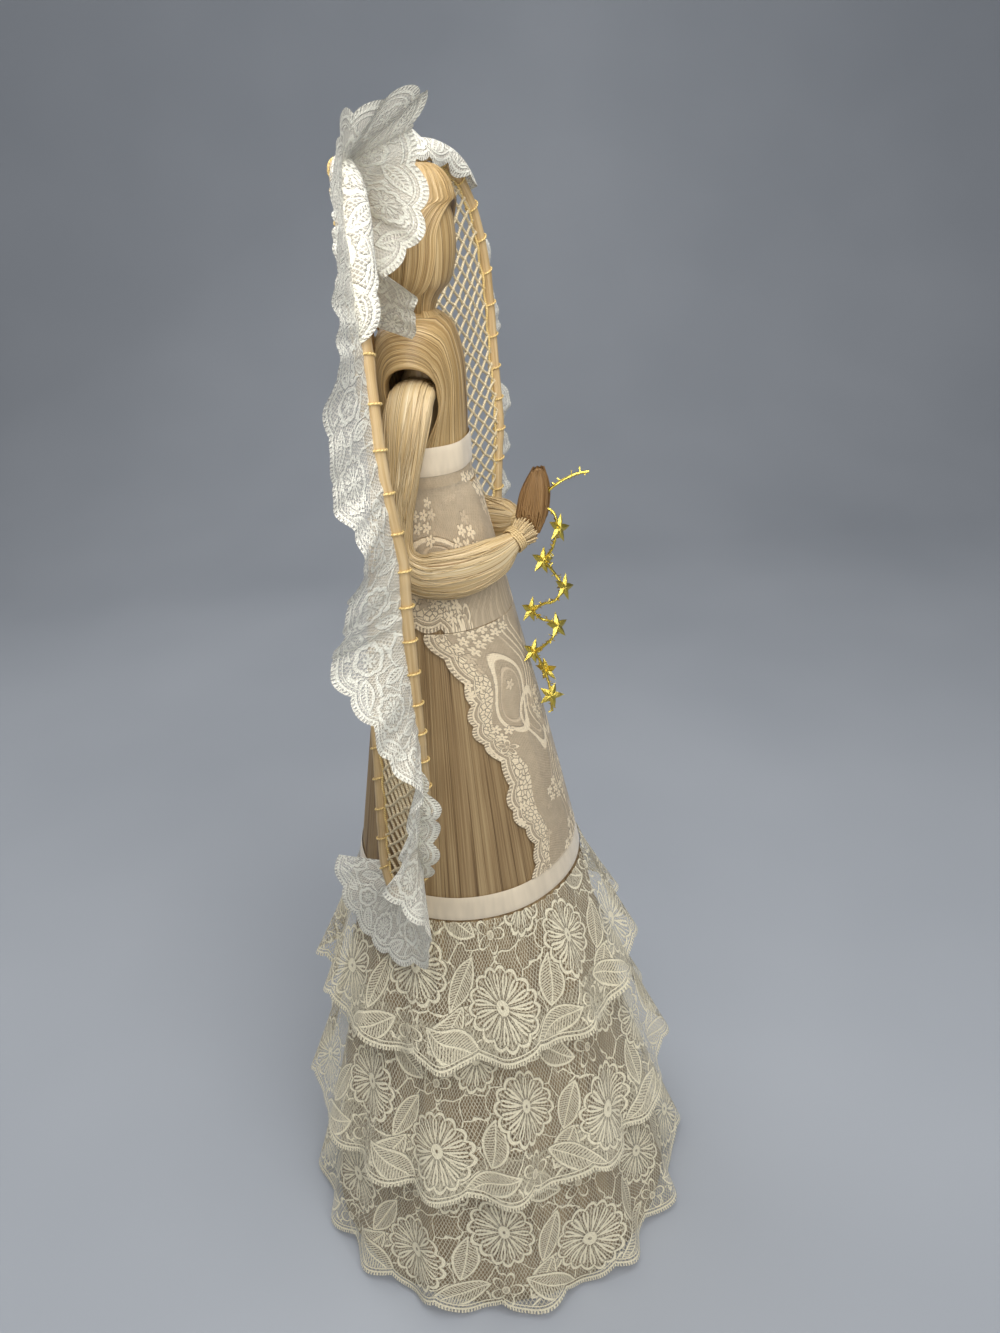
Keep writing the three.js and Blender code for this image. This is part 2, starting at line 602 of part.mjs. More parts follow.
// Wings. A wing is drawn flat, as (across, height), then bent: its lower half leans on the skirt's side
// and back, its upper half stands upright behind the shoulder.
const wingBackDistance = CAPE_HALF_DEPTH + 2 * GAP + 2 * THREAD_RADIUS + CANE_RADIUS;
function wingPoint(across, z, lift = 0) {
  const rise = THREE.MathUtils.clamp((z - WING_BOTTOM) / WING_TWIST_HEIGHT, 0, 1);
  const sweep = radians(WING_SWEEP + WING_TWIST * (1 - rise) ** WING_TWIST_CURVE);
  const onCone = skirtRadius(Math.min(z, SKIRT_HEIGHT)) + WING_STANDOFF;
  const soft = Math.hypot(onCone - wingBackDistance, WING_SOFT_BEND);
  const distance = (onCone + wingBackDistance + soft) / 2 + lift;
  const reach = WING_REACH - WING_TUCK * (1 - rise) ** WING_TWIST_CURVE + across;
  const x = -distance * Math.sin(sweep) - reach * Math.cos(sweep);
  const y = distance * Math.cos(sweep) - reach * Math.sin(sweep);
  return vec(x, y, z);
}

// Flat outline, as shares of half width and height: up the outer side from the lower tip to the top, then
// down the inner side, which keeps closer to the tip.
const WING_OUTER = [
  [0, 0], [0.24, 0.022], [0.44, 0.08], [0.6, 0.17], [0.76, 0.33], [0.89, 0.52], [1, 0.72], [0.97, 0.83],
  [0.78, 0.93], [0.44, 0.985], [0, 1],
];
const WING_INNER = [
  [-0.44, 0.985], [-0.78, 0.93], [-0.97, 0.83], [-1, 0.72], [-0.83, 0.52], [-0.6, 0.36], [-0.38, 0.23],
  [-0.24, 0.12], [-0.17, 0.04],
];
const wingOutline = new THREE.CatmullRomCurve3(
  [...WING_OUTER, ...WING_INNER].map(([w, h]) => vec(w * WING_HALF_WIDTH, WING_BOTTOM + h * WING_HEIGHT, 0)),
  true,
  "centripetal",
);

// A place on the outline, with its outward and backward directions on the bent wing.
function wingEdge(t) {
  const share = t - Math.floor(t);
  const flat = wingOutline.getPointAt(share);
  const along = wingOutline.getTangentAt(share);
  const flatOut = vec(along.y, -along.x, 0);
  const point = wingPoint(flat.x, flat.y);
  const out = wingPoint(flat.x + flatOut.x, flat.y + flatOut.y).sub(point).normalize();
  const back = wingPoint(flat.x, flat.y, 1).sub(point);
  back.addScaledVector(out, -back.dot(out)).normalize();
  return { flat, flatOut, point, out, back };
}
const wingEdges = Array.from({ length: WING_RINGS }, (_, i) => wingEdge(i / WING_RINGS));

function wingFrame() {
  const rings = wingEdges.map(({ point, out, back }) =>
    Array.from({ length: CANE_SIDES }, (_, k) => {
      const angle = (2 * Math.PI * k) / CANE_SIDES;
      return point.clone()
        .addScaledVector(out, CANE_RADIUS * Math.cos(angle))
        .addScaledVector(back, CANE_RADIUS * Math.sin(angle));
    }),
  );
  return loft(rings, true);
}
addPair("wing_frame", wingFrame(), CANE);

// Net: a thin web with diamond gaps, inside the cane, bent with the wing.
function wingNet() {
  const notch = 2 * (THREAD_RADIUS + GAP);
  const rim = wingEdges.map(({ flat, flatOut }) => {
    const lashed = flat.x < 0 && Math.abs(flat.y - LASHING_HEIGHT) < NET_CELL;
    const inset = CANE_RADIUS + GAP + (lashed ? notch : 0);
    return new THREE.Vector2(flat.x - inset * flatOut.x, flat.y - inset * flatOut.y);
  });
  const web = new THREE.Shape(rim);
  const clear = (x, y) => {
    let inside = false;
    let nearest = Infinity;
    rim.forEach((a, i) => {
      const b = rim[(i + 1) % rim.length];
      if (a.y > y !== b.y > y && x < a.x + ((y - a.y) * (b.x - a.x)) / (b.y - a.y)) inside = !inside;
      nearest = Math.min(nearest, Math.hypot(a.x - x, a.y - y));
    });
    return inside && nearest > NET_BORDER;
  };
  const half = NET_CELL / 2;
  const gapHalf = half - NET_STRAND / Math.SQRT2;
  const rows = Math.floor(WING_HEIGHT / half);
  const columns = Math.ceil(WING_HALF_WIDTH / half);
  for (let row = 1; row < rows; row++)
    for (let column = -columns; column <= columns; column++) {
      if ((row + column) % 2 !== 0) continue;
      const x = column * half;
      const y = WING_BOTTOM + row * half;
      const corners = [
        new THREE.Vector2(x + gapHalf, y),
        new THREE.Vector2(x, y - gapHalf),
        new THREE.Vector2(x - gapHalf, y),
        new THREE.Vector2(x, y + gapHalf),
      ];
      if (corners.every((corner) => clear(corner.x, corner.y))) web.holes.push(new THREE.Path(corners));
    }
  const flatNet = new THREE.ExtrudeGeometry(web, { depth: NET_THICKNESS, bevelEnabled: false });
  const place = flatNet.attributes.position;
  for (let i = 0; i < place.count; i++) {
    const lift = place.getZ(i) - NET_THICKNESS / 2;
    const bent = wingPoint(place.getX(i), place.getY(i), lift);
    place.setXYZ(i, bent.x, bent.y, bent.z);
  }
  return flatNet;
}
addPair("wing_net", wingNet(), NET);

// Lace trim: [place on the outline, degrees that it leans back] and [place, width], with slow waves. At the top
// the right trim stands up, then falls forward beside the head in two folds; the left one falls back.
const RIGHT_LACE_LEAN = [
  [-0.1, 10], [0, 10], [0.04, 30], [0.085, 58], [0.135, 36], [0.167, 22], [0.204, 38], [0.24, 64], [0.264, 55],
  [0.283, 38], [0.322, 20], [0.353, 31], [0.389, 18], [0.412, 12], [0.441, 11], [0.468, -4], [0.476, -12],
  [0.486, -40], [0.5, -58], [0.513, -70], [0.543, -133], [0.565, -160], [0.592, -147], [0.7, -149],
];
const RIGHT_LACE_WIDTH = [
  [-0.1, 25], [0.38, 25], [0.441, 18], [0.46, 15], [0.478, 15.5], [0.5, 28], [0.516, 20], [0.54, 25], [0.565, 25],
  [0.6, 31], [0.63, 26],
];
const LEFT_LACE_LEAN = [
  [-0.1, 20], [0.05, 20], [0.14, 38], [0.24, 30], [0.29, 26], [0.32, 33], [0.35, 26], [0.385, 28], [0.41, 34],
  [0.44, 40], [0.465, 52], [0.5, 88], [0.54, 105], [0.7, 110],
];
const LEFT_LACE_WIDTH = [[-0.1, 25], [0.48, 25], [0.63, 15]];
function alongLace(stops, t) {
  const after = Math.max(1, stops.findIndex(([place]) => place > t));
  const [t0, value0] = stops[after - 1];
  const [t1, value1] = stops[after];
  return blend(value0, value1, THREE.MathUtils.smoothstep(t, t0, t1));
}
function wingLace(leans, widths) {
  const surface = (u, v) => {
    const t = blend(WING_LACE_FIRST_SHARE, WING_LACE_LAST_SHARE, u);
    const { point, out, back } = wingEdge(t);
    const lean = radians(alongLace(leans, t));
    const away = out.clone().multiplyScalar(Math.cos(lean)).addScaledVector(back, Math.sin(lean));
    const side = out.clone().multiplyScalar(-Math.sin(lean)).addScaledVector(back, Math.cos(lean));
    const root = CANE_RADIUS + 2 * GAP + LACE_THICKNESS / 2;
    const fold = Math.sin(2 * Math.PI * WING_LACE_FOLDS * u) * WING_LACE_RIPPLE * v;
    return point.addScaledVector(away, root + alongLace(widths, t) * v).addScaledVector(side, fold);
  };
  return cloth(surface, WING_LACE_FOLDS * LACE_STEPS_PER_FOLD, LACE_ROWS, LACE_THICKNESS);
}
add("right_wing_lace", wingLace(RIGHT_LACE_LEAN, RIGHT_LACE_WIDTH), WHITE_LACE, rightSide);
add("left_wing_lace", wingLace(LEFT_LACE_LEAN, LEFT_LACE_WIDTH), WHITE_LACE, leftSide);

// Lashing: thread wound on the inner cane, against the back of the cape.
const lashPlace = wingEdges
  .filter(({ flat }) => flat.x < 0)
  .reduce((a, b) => (Math.abs(a.point.z - LASHING_HEIGHT) < Math.abs(b.point.z - LASHING_HEIGHT) ? a : b));
const lashing = threadTie(threadRadiusOn(CANE_RADIUS), LASHING_TURNS);
addPair("wing_lashing", lashing.translate(lashPlace.point.x, lashPlace.point.y, LASHING_HEIGHT), THREAD);

// Garland: wire laid in the groove between the palms, with foil stars on the outside of its bends.
const wire = new THREE.CatmullRomCurve3(WIRE_ROUTE.map(onTop), false, "centripetal");
const tip = new THREE.CatmullRomCurve3(TIP_ROUTE.map(onTop), false, "centripetal");
add("garland_wire", tube(wire, WIRE_RADIUS, WIRE_SIDES, WIRE_STEPS), GOLD);
add("garland_tip", tube(tip, WIRE_RADIUS, WIRE_SIDES, TIP_STEPS), GOLD);
function star() {
  const outline = new THREE.Shape(
    Array.from({ length: 2 * STAR_POINTS }, (_, i) => {
      const radius = i % 2 ? STAR_RADIUS * STAR_WAIST_SHARE : STAR_RADIUS;
      const angle = (Math.PI * i) / STAR_POINTS;
      return new THREE.Vector2(radius * Math.cos(angle), radius * Math.sin(angle));
    }),
  );
  const flat = new THREE.ExtrudeGeometry(outline, { depth: STAR_THICKNESS, bevelEnabled: false });
  return flat.translate(0, 0, -STAR_THICKNESS / 2);
}
STAR_SHARES.forEach((t, i) => {
  const before = wire.getTangentAt(t - BEND_SHARE);
  const tangent = wire.getTangentAt(t);
  const outside = before.sub(wire.getTangentAt(t + BEND_SHARE));
  outside.addScaledVector(tangent, -outside.dot(tangent)).normalize();
  const centre = wire.getPointAt(t).addScaledVector(outside, WIRE_RADIUS + GAP + STAR_THICKNESS / 2);
  const mesh = add(`star_${i + 1}`, star(), GOLD);
  mesh.position.copy(centre);
  mesh.quaternion.setFromUnitVectors(vec(0, 0, 1), outside);
});

export default angel;
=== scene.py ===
# Looks of the straw angel figurine: combed fibre, gathered lace, satin ribbon, net wings, a star garland.
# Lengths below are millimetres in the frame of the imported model; they become metres when a mesh is made.
import math
import bpy
import numpy as np
from mathutils import Matrix, Vector


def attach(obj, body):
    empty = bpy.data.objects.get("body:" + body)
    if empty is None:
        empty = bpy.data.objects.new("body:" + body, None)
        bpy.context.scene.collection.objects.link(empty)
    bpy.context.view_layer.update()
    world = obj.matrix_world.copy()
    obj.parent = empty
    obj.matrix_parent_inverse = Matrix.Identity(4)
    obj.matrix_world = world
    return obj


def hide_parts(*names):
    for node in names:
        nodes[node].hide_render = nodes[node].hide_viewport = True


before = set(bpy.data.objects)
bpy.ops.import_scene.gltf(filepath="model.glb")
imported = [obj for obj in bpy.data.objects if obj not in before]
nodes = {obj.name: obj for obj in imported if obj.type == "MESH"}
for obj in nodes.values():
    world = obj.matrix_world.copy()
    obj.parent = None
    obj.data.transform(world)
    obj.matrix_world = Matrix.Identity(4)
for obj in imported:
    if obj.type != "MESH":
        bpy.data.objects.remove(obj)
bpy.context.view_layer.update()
MM = 0.001
SIDES = {"right": -1, "left": 1}
MIRROR = {side: np.array((-sign, 1, 1)) for side, sign in SIDES.items()}
VIEW_SIDE = math.radians(16)

# Sizes and places, as in the solids or fitted to them; of a pair, the right one is given
SKIRT_HEIGHT, FOOT_RADIUS, TOP_RADIUS = 350, 82, 15
RIBBON_WIDTH, SKIRT_RIBBON, BUST_RIBBON, BUST_HALVES = 9.5, 195, 360, (16.3, 13.9)
# Hem height, flare off the skirt, and top height of each flounce
TIERS = {"upper": (133, 12.6, 189.9), "middle": (68, 13.5, 144), "lower": (3, 7.1, 79)}
BODICE, BODICE_TUCK = (302, 349), 356
APRON_ANGLES, APRON_LENGTH, APRON_SCALLOP_DEPTH = (79, 38), 104, 3
ARMHOLE_RADIUS, ARMHOLE_TOP, ARMHOLE_Y, ARMHOLE_OPENS = 8.2, 392, -1, (357, 379)
# Height, half width and half depth of the cape
CAPE_RINGS = [(350.3, 16, 13.6), (364.8, 16, 13.6), (376.4, 19.6, 14), (388, 21.8, 14), (394.6, 20.9, 13),
              (400.4, 17, 11.2), (404.5, 9, 7)]
CAPE_FOOT, CAPE_NECK, SHOULDER_RIDGE = 351, 403.6, [(-5, 404.2), (0, 404.4), (5, 404.2)]
COLLAR_HALVES, COLLAR_RISE, NECK_RADIUS = (10.4, 8.2), 1.7, 4.5
HEAD, HAIR_REACH, HAIR_FALL = (0, -0.5, 428), 15.6, 405.4
# Heights, of the crown as shares of its rise, and shares of the hair's reach
HAIR_RINGS = [(HAIR_FALL - 0.6, 0.47), (407.5, 0.6), (412.5, 0.84), (420.1, 0.98), (429, 1.02)]
CROWN_RISE, CROWN_FORWARD, CROWN_RINGS = 19, 4, [(0.45, 0.94), (0.75, 0.74), (0.93, 0.44), (1, 0.03)]
FACE_HALF_WIDTH, FACE_BROW = 11, 425.5
# Height and radius of the ball behind the hair's opening
FACE_RINGS = [(405, 6.2), (408, 7.4), (410.6, 9.4), (413, 11.9), (420.1, 14.1), (428, 14.6), (434, 13.7),
              (438.5, 11), (441.3, 6), (442.2, 0.3)]
# Middle of the arm from shoulder to wrist, and its half width and half thickness at each place
ARM_PATH = [(-9.3, -1, 381.5), (-17, -1, 381.5), (-23, -0.3, 375), (-26, 2, 360), (-27.5, 4.6, 344),
            (-28.4, 4.6, 332.5), (-28.2, -0.5, 326), (-24.5, -12.5, 324.5), (-16.5, -23, 326.5),
            (-8.6, -29.6, 330.6)]
ARM_HALVES = [(6.8, 4.4), (7.4, 4.6), (7.2, 4.6), (5.4, 4.4), (4.2, 4.1), (4.4, 4.1), (8, 4.4), (9.2, 4.4),
              (8.3, 4.4), (3.1, 3.1)]
HAND_BASE, HAND_TIP, HAND_HALF = (-3.2, -33.2, 329.5), (-1.6, -37, 351.5), (2.1, 4.6)
# Tenths of the way from the hand's base to its tip, and shares of its half sizes
HAND_RINGS = [(0, 0.75, 0.62), (2.5, 1, 0.95), (5, 1, 1), (7.5, 0.86, 0.88), (9.7, 0.5, 0.5),
              (10.2, 0.25, 0.25), (10.3, 0.02, 0.02)]
# Places of the bindings, and their radius and turns
LASHING, NECK_TIE = (-5.753, 18.369, 380), (0, HEAD[1], 406.8)
TIES = {"neck": (5, 2), "wrist": (4.3, 2), "lashing": (2.8, 3)}
CANE_RADIUS, WING_BOTTOM, WING_HEIGHT, WING_HALF_WIDTH = 2, 200, 248, 38
WING_TWIST_HEIGHT, WING_EASE, WING_OFF_CONE, WING_BEHIND, WING_BLEND = 185, 1.7, 3.6, 17.6, 2
WING_SWEEP, WING_SWEEP_BELOW, WING_REACH, WING_REACH_BELOW = 20.5, 38, 37, -29
# Cane outline from the foot up, in shares of half the width and of the height
WING_OUTER = [(0, 0), (0.24, 0.022), (0.44, 0.08), (0.6, 0.17), (0.76, 0.33), (0.89, 0.52), (1, 0.72),
              (0.97, 0.83), (0.78, 0.93), (0.44, 0.985), (0, 1)]
WING_INNER = [(0.17, 0.04), (0.24, 0.12), (0.38, 0.23), (0.6, 0.36), (0.83, 0.52), (1, 0.72), (0.97, 0.83),
              (0.78, 0.93), (0.44, 0.985)]
# Wing lace, by the share of the way round the cane: its stretch, lean in degrees and width;
# and the headings wrapped round the cane: first, last, start and sweep in degrees, swell
LACE_SHARES = (-0.025, 0.62)
LEANS = {"right": [(-0.1, 10), (0, 10), (0.04, 30), (0.085, 58), (0.135, 36), (0.167, 22), (0.204, 38),
                   (0.24, 64), (0.264, 55), (0.283, 38), (0.322, 20), (0.353, 31), (0.389, 18), (0.412, 12),
                   (0.441, 11), (0.468, -4), (0.476, -12), (0.486, -40), (0.5, -58), (0.513, -70),
                   (0.543, -133), (0.565, -160), (0.592, -147), (0.7, -149)],
         "left": [(-0.1, 20), (0.05, 20), (0.14, 38), (0.24, 30), (0.29, 26), (0.32, 33), (0.35, 26),
                  (0.385, 28), (0.41, 34), (0.44, 40), (0.465, 52), (0.5, 88), (0.54, 105), (0.7, 110)]}
LACE_WIDTHS = {"right": [(-0.1, 25), (0.38, 25), (0.441, 18), (0.46, 15), (0.478, 15.5), (0.5, 28),
                         (0.516, 20), (0.54, 25), (0.565, 25), (0.6, 31), (0.63, 26)],
               "left": [(-0.1, 25), (0.48, 25), (0.63, 15)]}
LACE_HEADINGS = {"right": [(0.395, 0.53, 75, 205, 3.6), (0.05, 0.15, 55, 112, 6.5)],
                 "left": [(0.44, 0.55, 0, 215, 4)]}
# Garland wire from the palms to its free end, and its short end above them
WIRE_ROUTE = [(0, -37.6, 338), (0, -40, 338.4), (-0.6, -42.4, 336.4), (-1, -42.8, 331.6), (-1.6, -41.3, 325),
              (0.5, -38.2, 319), (1.8, -41, 313.5), (0.4, -43.6, 308.8), (-1.6, -41.2, 304.6),
              (-1.6, -36.4, 303), (0.3, -33, 299.2), (1.8, -35.6, 295.4), (1, -40, 294.4),
              (-1.2, -40.2, 290.4), (-1.8, -36.8, 286.6), (0, -33, 282.8), (1.6, -34.8, 276.4),
              (0.8, -37, 269.6), (-0.6, -37.8, 263.6), (0, -38, 257.6)]
TIP_ROUTE = [(0, -38, 343), (0.4, -41, 345.4), (1.4, -45.4, 348.2), (2.4, -50, 350), (3, -54, 350.6)]
WIRE_RADIUS, STAR_COUNT = 0.5, 8

# Sizes, counts and seeds of the details
STRAW_BUNDLE, STRAW_RELIEF, STRAW_FOOT_IN, STRAW_PATTERN_RADIUS = 9, 0.5, 0.98, 45
TIER_FOLDS, TIER_RIPPLE = 14, 5.2
LACE_ON_STRAW, APRON_ON_STRAW, RIBBON_LIFT = 0.9, 0.8, 0.55
CAPE_LIP, CAPE_LINING = 1.1, 4
ARM_STRANDS, ARM_STRAND_RADIUS, TUFT_STRANDS, HAND_STRANDS = 110, 0.26, 190, 90
THREAD_RADIUS, THREAD_PITCH, PLY_PITCH = 0.36, 0.78, 0.9
NET_HALF_WIDE, NET_HALF_HIGH, NET_JITTER, NET_SAG = 3.2, 2.9, 0.45, 0.8
NET_THREAD_RADIUS, NET_KNOT_RADIUS, NET_INSET, NET_STUB = 0.55, 1.0, 1.2, 0.55
STITCHES, STITCH_RADIUS, STITCH_SLANT = 46, 2.42, 0.7
EDGE_CORD_INSET, EDGE_CORD_RADIUS, EDGE_CORD_SWAY = 2.75, 0.5, (0.25, 0.35)
LACE_FOLDS, LACE_RIPPLE, LACE_PLEAT, LACE_ROOT, LACE_TUCK = 15, 2.6, 0.6, 1.9, 1.1
LACE_DRAWN_UP, STRANDS_END, EDGE_STEPS, BLOSSOM_PETALS = (330, 400), 500, 1200, 5
TOOTH_PITCH, HEM_CORDS = 1.25, (2.3, 4.1)
# Stars: where they face, the radius and crease of a point's four columns, and share and lift of each ring
STARS_FACE, STAR_RADII = np.array((-0.9, -0.22, 0.38)), (5.2, 3.2, 2.2, 3.2)
STAR_RINGS = [(0.04, 0.75), (0.5, 0.45), (0.92, 0.08), (1, 0), (0.92, -0.12), (0.5, 0.2), (0.04, 0.5)]
STAR_CREASES = (0.25, 0, -0.12, 0)
SEEDS = {"straw": 3, "upper": 5, "middle": 16, "lower": 27, "apron": 41, "bodice": 43, "satin_sash": 51,
         "satin_bust": 57, "cape": 61, "collar": 67, "arm": 71, "strands": 75, "tuft": 81, "palm": 91,
         "fray": 95, "hair": 101, "face": 105, "net": 111, "cane": 121, "ruffle": 131, "fringe": 141}


# Camera and light
def turned(first, second, angle):
    """Two directions turned by angle in their own plane."""
    c, s = math.cos(angle), math.sin(angle)
    return c * first - s * second, s * first + c * second


def place_camera():
    distance, height = 335.5, 455.9
    pitch, roll, yaw = 0.498, 0.077, 0.055
    sensor, focal_pixels, picture_pixels = 36, 1001, 1333
    ahead = Vector((math.cos(VIEW_SIDE), math.sin(VIEW_SIDE), 0))
    right = Vector((math.sin(VIEW_SIDE), -math.cos(VIEW_SIDE), 0))
    up = Vector((0, 0, 1))
    place = -distance * ahead + height * up
    right, ahead = turned(right, ahead, yaw)
    ahead, up = turned(ahead, up, pitch)
    right, up = turned(right, up, roll)
    lens = bpy.data.cameras.new("camera")
    lens.sensor_fit, lens.sensor_height = "VERTICAL", sensor
    lens.lens = sensor * focal_pixels / picture_pixels
    lens.clip_start = 0.01
    camera = bpy.data.objects.new("camera", lens)
    camera.matrix_world = Matrix.Translation(place * MM) @ Matrix((right, up, -ahead)).transposed().to_4x4()
    bpy.context.collection.objects.link(camera)
    bpy.context.scene.camera = camera


def area_light(name, place, target, size, power, spread=180):
    data = bpy.data.lights.new(name, "AREA")
    data.size, data.energy, data.spread = size, power, math.radians(spread)
    light = bpy.data.objects.new(name, data)
    light.location = place
    light.rotation_euler = (Vector(target) - Vector(place)).to_track_quat("-Z", "Y").to_euler()
    bpy.context.collection.objects.link(light)


place_camera()
bpy.context.scene.view_settings.view_transform = "Standard"
world = bpy.data.worlds.new("studio")
bpy.context.scene.world = world
world.use_nodes = True
sky = world.node_tree.nodes["Background"]
sky.inputs["Color"].default_value = (0.95, 0.96, 1, 1)
sky.inputs["Strength"].default_value = 0.28
area_light("key", (-0.55, -0.5, 0.95), (0, 0, 0.22), 0.5, 4.3)
area_light("top", (-0.2, -0.08, 0.95), (0, 0, 0.15), 0.5, 4.1)
area_light("fill", (-0.56, -0.06, 0.5), (0, 0, 0.52), 0.3, 0.21, 50)
area_light("back", (0.4, 0.6, 0.8), (0, 0, 0.25), 0.6, 2.4)


# Curves and small arithmetic
def run_of(points):
    """Length of the way from the first point to each point."""
    return np.r_[0, np.cumsum(np.linalg.norm(np.diff(points, axis=0), axis=1))]


def catmull(points, count, closed=False):
    """Centripetal Catmull-Rom curve through points, as count places evenly spaced along it."""
    p = np.asarray(points, float)
    n = len(p)
    if closed:
        p = np.vstack([p[-1:], p, p[:2]])
    else:
        p = np.vstack([2 * p[:1] - p[1:2], p, 2 * p[-1:] - p[-2:-1]])
    dense = []
    for i in range(n if closed else n - 1):
        a, b, c, d = p[i:i + 4]
        t1 = max(np.linalg.norm(b - a), 1e-4) ** 0.5
        t2 = t1 + max(np.linalg.norm(c - b), 1e-4) ** 0.5
        t3 = t2 + max(np.linalg.norm(d - c), 1e-4) ** 0.5
        t = np.linspace(t1, t2, 40, endpoint=False)[:, None]
        ab = a + (b - a) * t / t1
        bc = b + (c - b) * (t - t1) / (t2 - t1)
        cd = c + (d - c) * (t - t2) / (t3 - t2)
        abc = ab + (bc - ab) * t / t2
        bcd = bc + (cd - bc) * (t - t1) / (t3 - t1)
        dense.append(abc + (bcd - abc) * (t - t1) / (t2 - t1))
    dense = np.vstack(dense + [p[1:2] if closed else p[-2:-1]])
    along = run_of(dense)
    at = np.linspace(0, along[-1], count, endpoint=not closed)
    return np.stack([np.interp(at, along, dense[:, k]) for k in range(p.shape[1])], 1)


def skirt_radius(z):
    return FOOT_RADIUS + (TOP_RADIUS - FOOT_RADIUS) * np.asarray(z, float) / SKIRT_HEIGHT


def smooth(x, low, high):
    t = np.clip((np.asarray(x, float) - low) / (high - low), 0, 1)
    return t * t * (3 - 2 * t)


def unit(v):
    return v / np.linalg.norm(v, axis=-1, keepdims=True)


def carried(tangent, first):
    """Directions square to each tangent, carried along from first without a twist."""
    normals = [np.asarray(first, float)]
    for t in tangent:
        n = normals[-1] - t * np.dot(normals[-1], t)
        normals.append(n / np.linalg.norm(n))
    return np.array(normals[1:])


def all_round(count):
    return np.linspace(0, 2 * np.pi, count, endpoint=False)


def oval(wide, deep, angle, z, middle=0):
    """Points round upright ovals about y = middle, spread over one grid."""
    return np.stack(np.broadcast_arrays(wide * np.cos(angle), middle + deep * np.sin(angle), z), 2)


def to_side(points, side):
    """A grid of the right side, or the same mirrored for the left side, with its faces still outward."""
    return points if side == "right" else (points * MIRROR[side])[::-1]


def wander(count, seed, waves, closed=True):
    """Smooth random line from -1 to 1, made of a few waves; a closed one joins its own start."""
    rng = np.random.default_rng(seed)
    x = np.linspace(0, 2 * np.pi, count, endpoint=not closed)
    line = sum(np.sin(k * x + rng.uniform(0, 6.28)) * rng.uniform(0.5, 1) for k in waves)
    return line / np.abs(line).max()


def strand_relief(count, seed, bundle):
    """Uneven heights of neighbouring strands, from 0 to 1: fine strands on wider bundles."""
    rng = np.random.default_rng(seed)
    fine = rng.uniform(0, 1, count)
    wide = np.repeat(rng.uniform(0, 1, count // bundle + 2), bundle)[:count]
    wide = np.r_[wide[-bundle:], wide, wide[:bundle]]
    wide = np.convolve(wide, np.ones(bundle) / bundle, "same")[bundle:-bundle]
    return 0.5 * fine + 0.5 * wide


def pattern(across, along):
    """Pattern coordinates from millimetres, spread over one grid."""
    return np.stack(np.broadcast_arrays(across, along), 2) / 100


def sheet_uv(points, wrap=False):
    """Millimetres along and down a hung sheet: along its last row, and down each column from the first."""
    if wrap:
        points = np.concatenate([points, points[:1]])
    down = np.linalg.norm(np.diff(points, axis=1), axis=2).cumsum(1)
    down = np.concatenate([np.zeros((len(points), 1)), down], 1)
    return pattern(run_of(points[:, -1])[:, None], down - down[:, -1:])


# Meshes
class Builder:
    """Collects points, faces and pattern coordinates for one mesh."""

    def __init__(self):
        self.points, self.faces, self.uvs, self.count = [], [], [], 0

    def add(self, points, faces, uv):
        self.points.append(points.reshape(-1, 3))
        self.faces.extend((self.count + faces).tolist())
        self.uvs.append(uv.reshape(-1, 2))
        self.count += points.size // 3
        return self

    def grid(self, points, wrap_u=False, wrap_v=False, uv=None):
        """points[i, j] as quads; uv has one more column or row where the grid is closed."""
        nu, nv = points.shape[:2]
        i, j = np.indices((nu if wrap_u else nu - 1, nv if wrap_v else nv - 1))
        corners = [(i, j), (i + 1, j), (i + 1, j + 1), (i, j + 1)]
        quads = np.stack([((a % nu) * nv + b % nv).ravel() for a, b in corners], 1)
        if uv is None:
            uv = np.stack(np.indices((nu + 1, nv + 1)), 2) / 10
        return self.add(points, quads, np.stack([uv[a, b] for a, b in corners], 2))

    def copies(self, points, faces, uv):
        """Many copies of one small shape: points[copy, corner], and the faces of the first copy."""
        first = points.shape[1] * np.arange(len(points))[:, None, None]
        return self.add(points, (first + faces).reshape(-1, len(faces[0])), uv)

    def tube(self, path, radius, sides, closed=False):
        """Round tube along path; pattern coordinates run round it and along it in millimetres."""
        path = np.asarray(path, float)
        if closed:
            tangent = unit(np.roll(path, -1, 0) - np.roll(path, 1, 0))
        else:
            tangent = unit(np.gradient(path, axis=0))
        start = np.cross(tangent[0], (0, 0, 1) if abs(tangent[0][2]) < 0.9 else (1, 0, 0))
        normals = carried(tangent, unit(start))
        other = np.cross(tangent, normals)
        angle = all_round(sides)[None, :, None]
        r = np.broadcast_to(np.asarray(radius, float), (len(path),))[:, None, None]
        ring = np.cos(angle) * normals[:, None] + np.sin(angle) * other[:, None]
        along = run_of(path)
        along = np.r_[along, along[-1] + 1]
        uv = pattern(10 * (np.arange(sides + 1) / sides)[None], along[:, None])
        return self.grid(path[:, None] + r * ring, closed, True, uv)

    def build(self, name, look, *replaced, body="figure", smooth_faces=True):
        """The piece: it rides on a body and stands for the replaced solids."""
        mesh = bpy.data.meshes.new(name)
        mesh.from_pydata((np.vstack(self.points) * MM).tolist(), [], self.faces)
        layer = mesh.uv_layers.new(name="pattern")
        layer.uv.foreach_set("vector", np.vstack(self.uvs).astype(np.float32).ravel())
        mesh.polygons.foreach_set("use_smooth", [smooth_faces] * len(mesh.polygons))
        mesh.materials.append(LOOKS[look])
        obj = bpy.data.objects.new(name, mesh)
        bpy.context.collection.objects.link(obj)
        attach(obj, body)
        if replaced:
            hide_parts(*replaced)
        return obj


# Materials
def feed(tree, socket, value):
    """Gives an input a plain number, or links it to a number of the tree."""
    if isinstance(value, Num):
        tree.links.new(value.socket, socket)
    else:
        socket.default_value = value


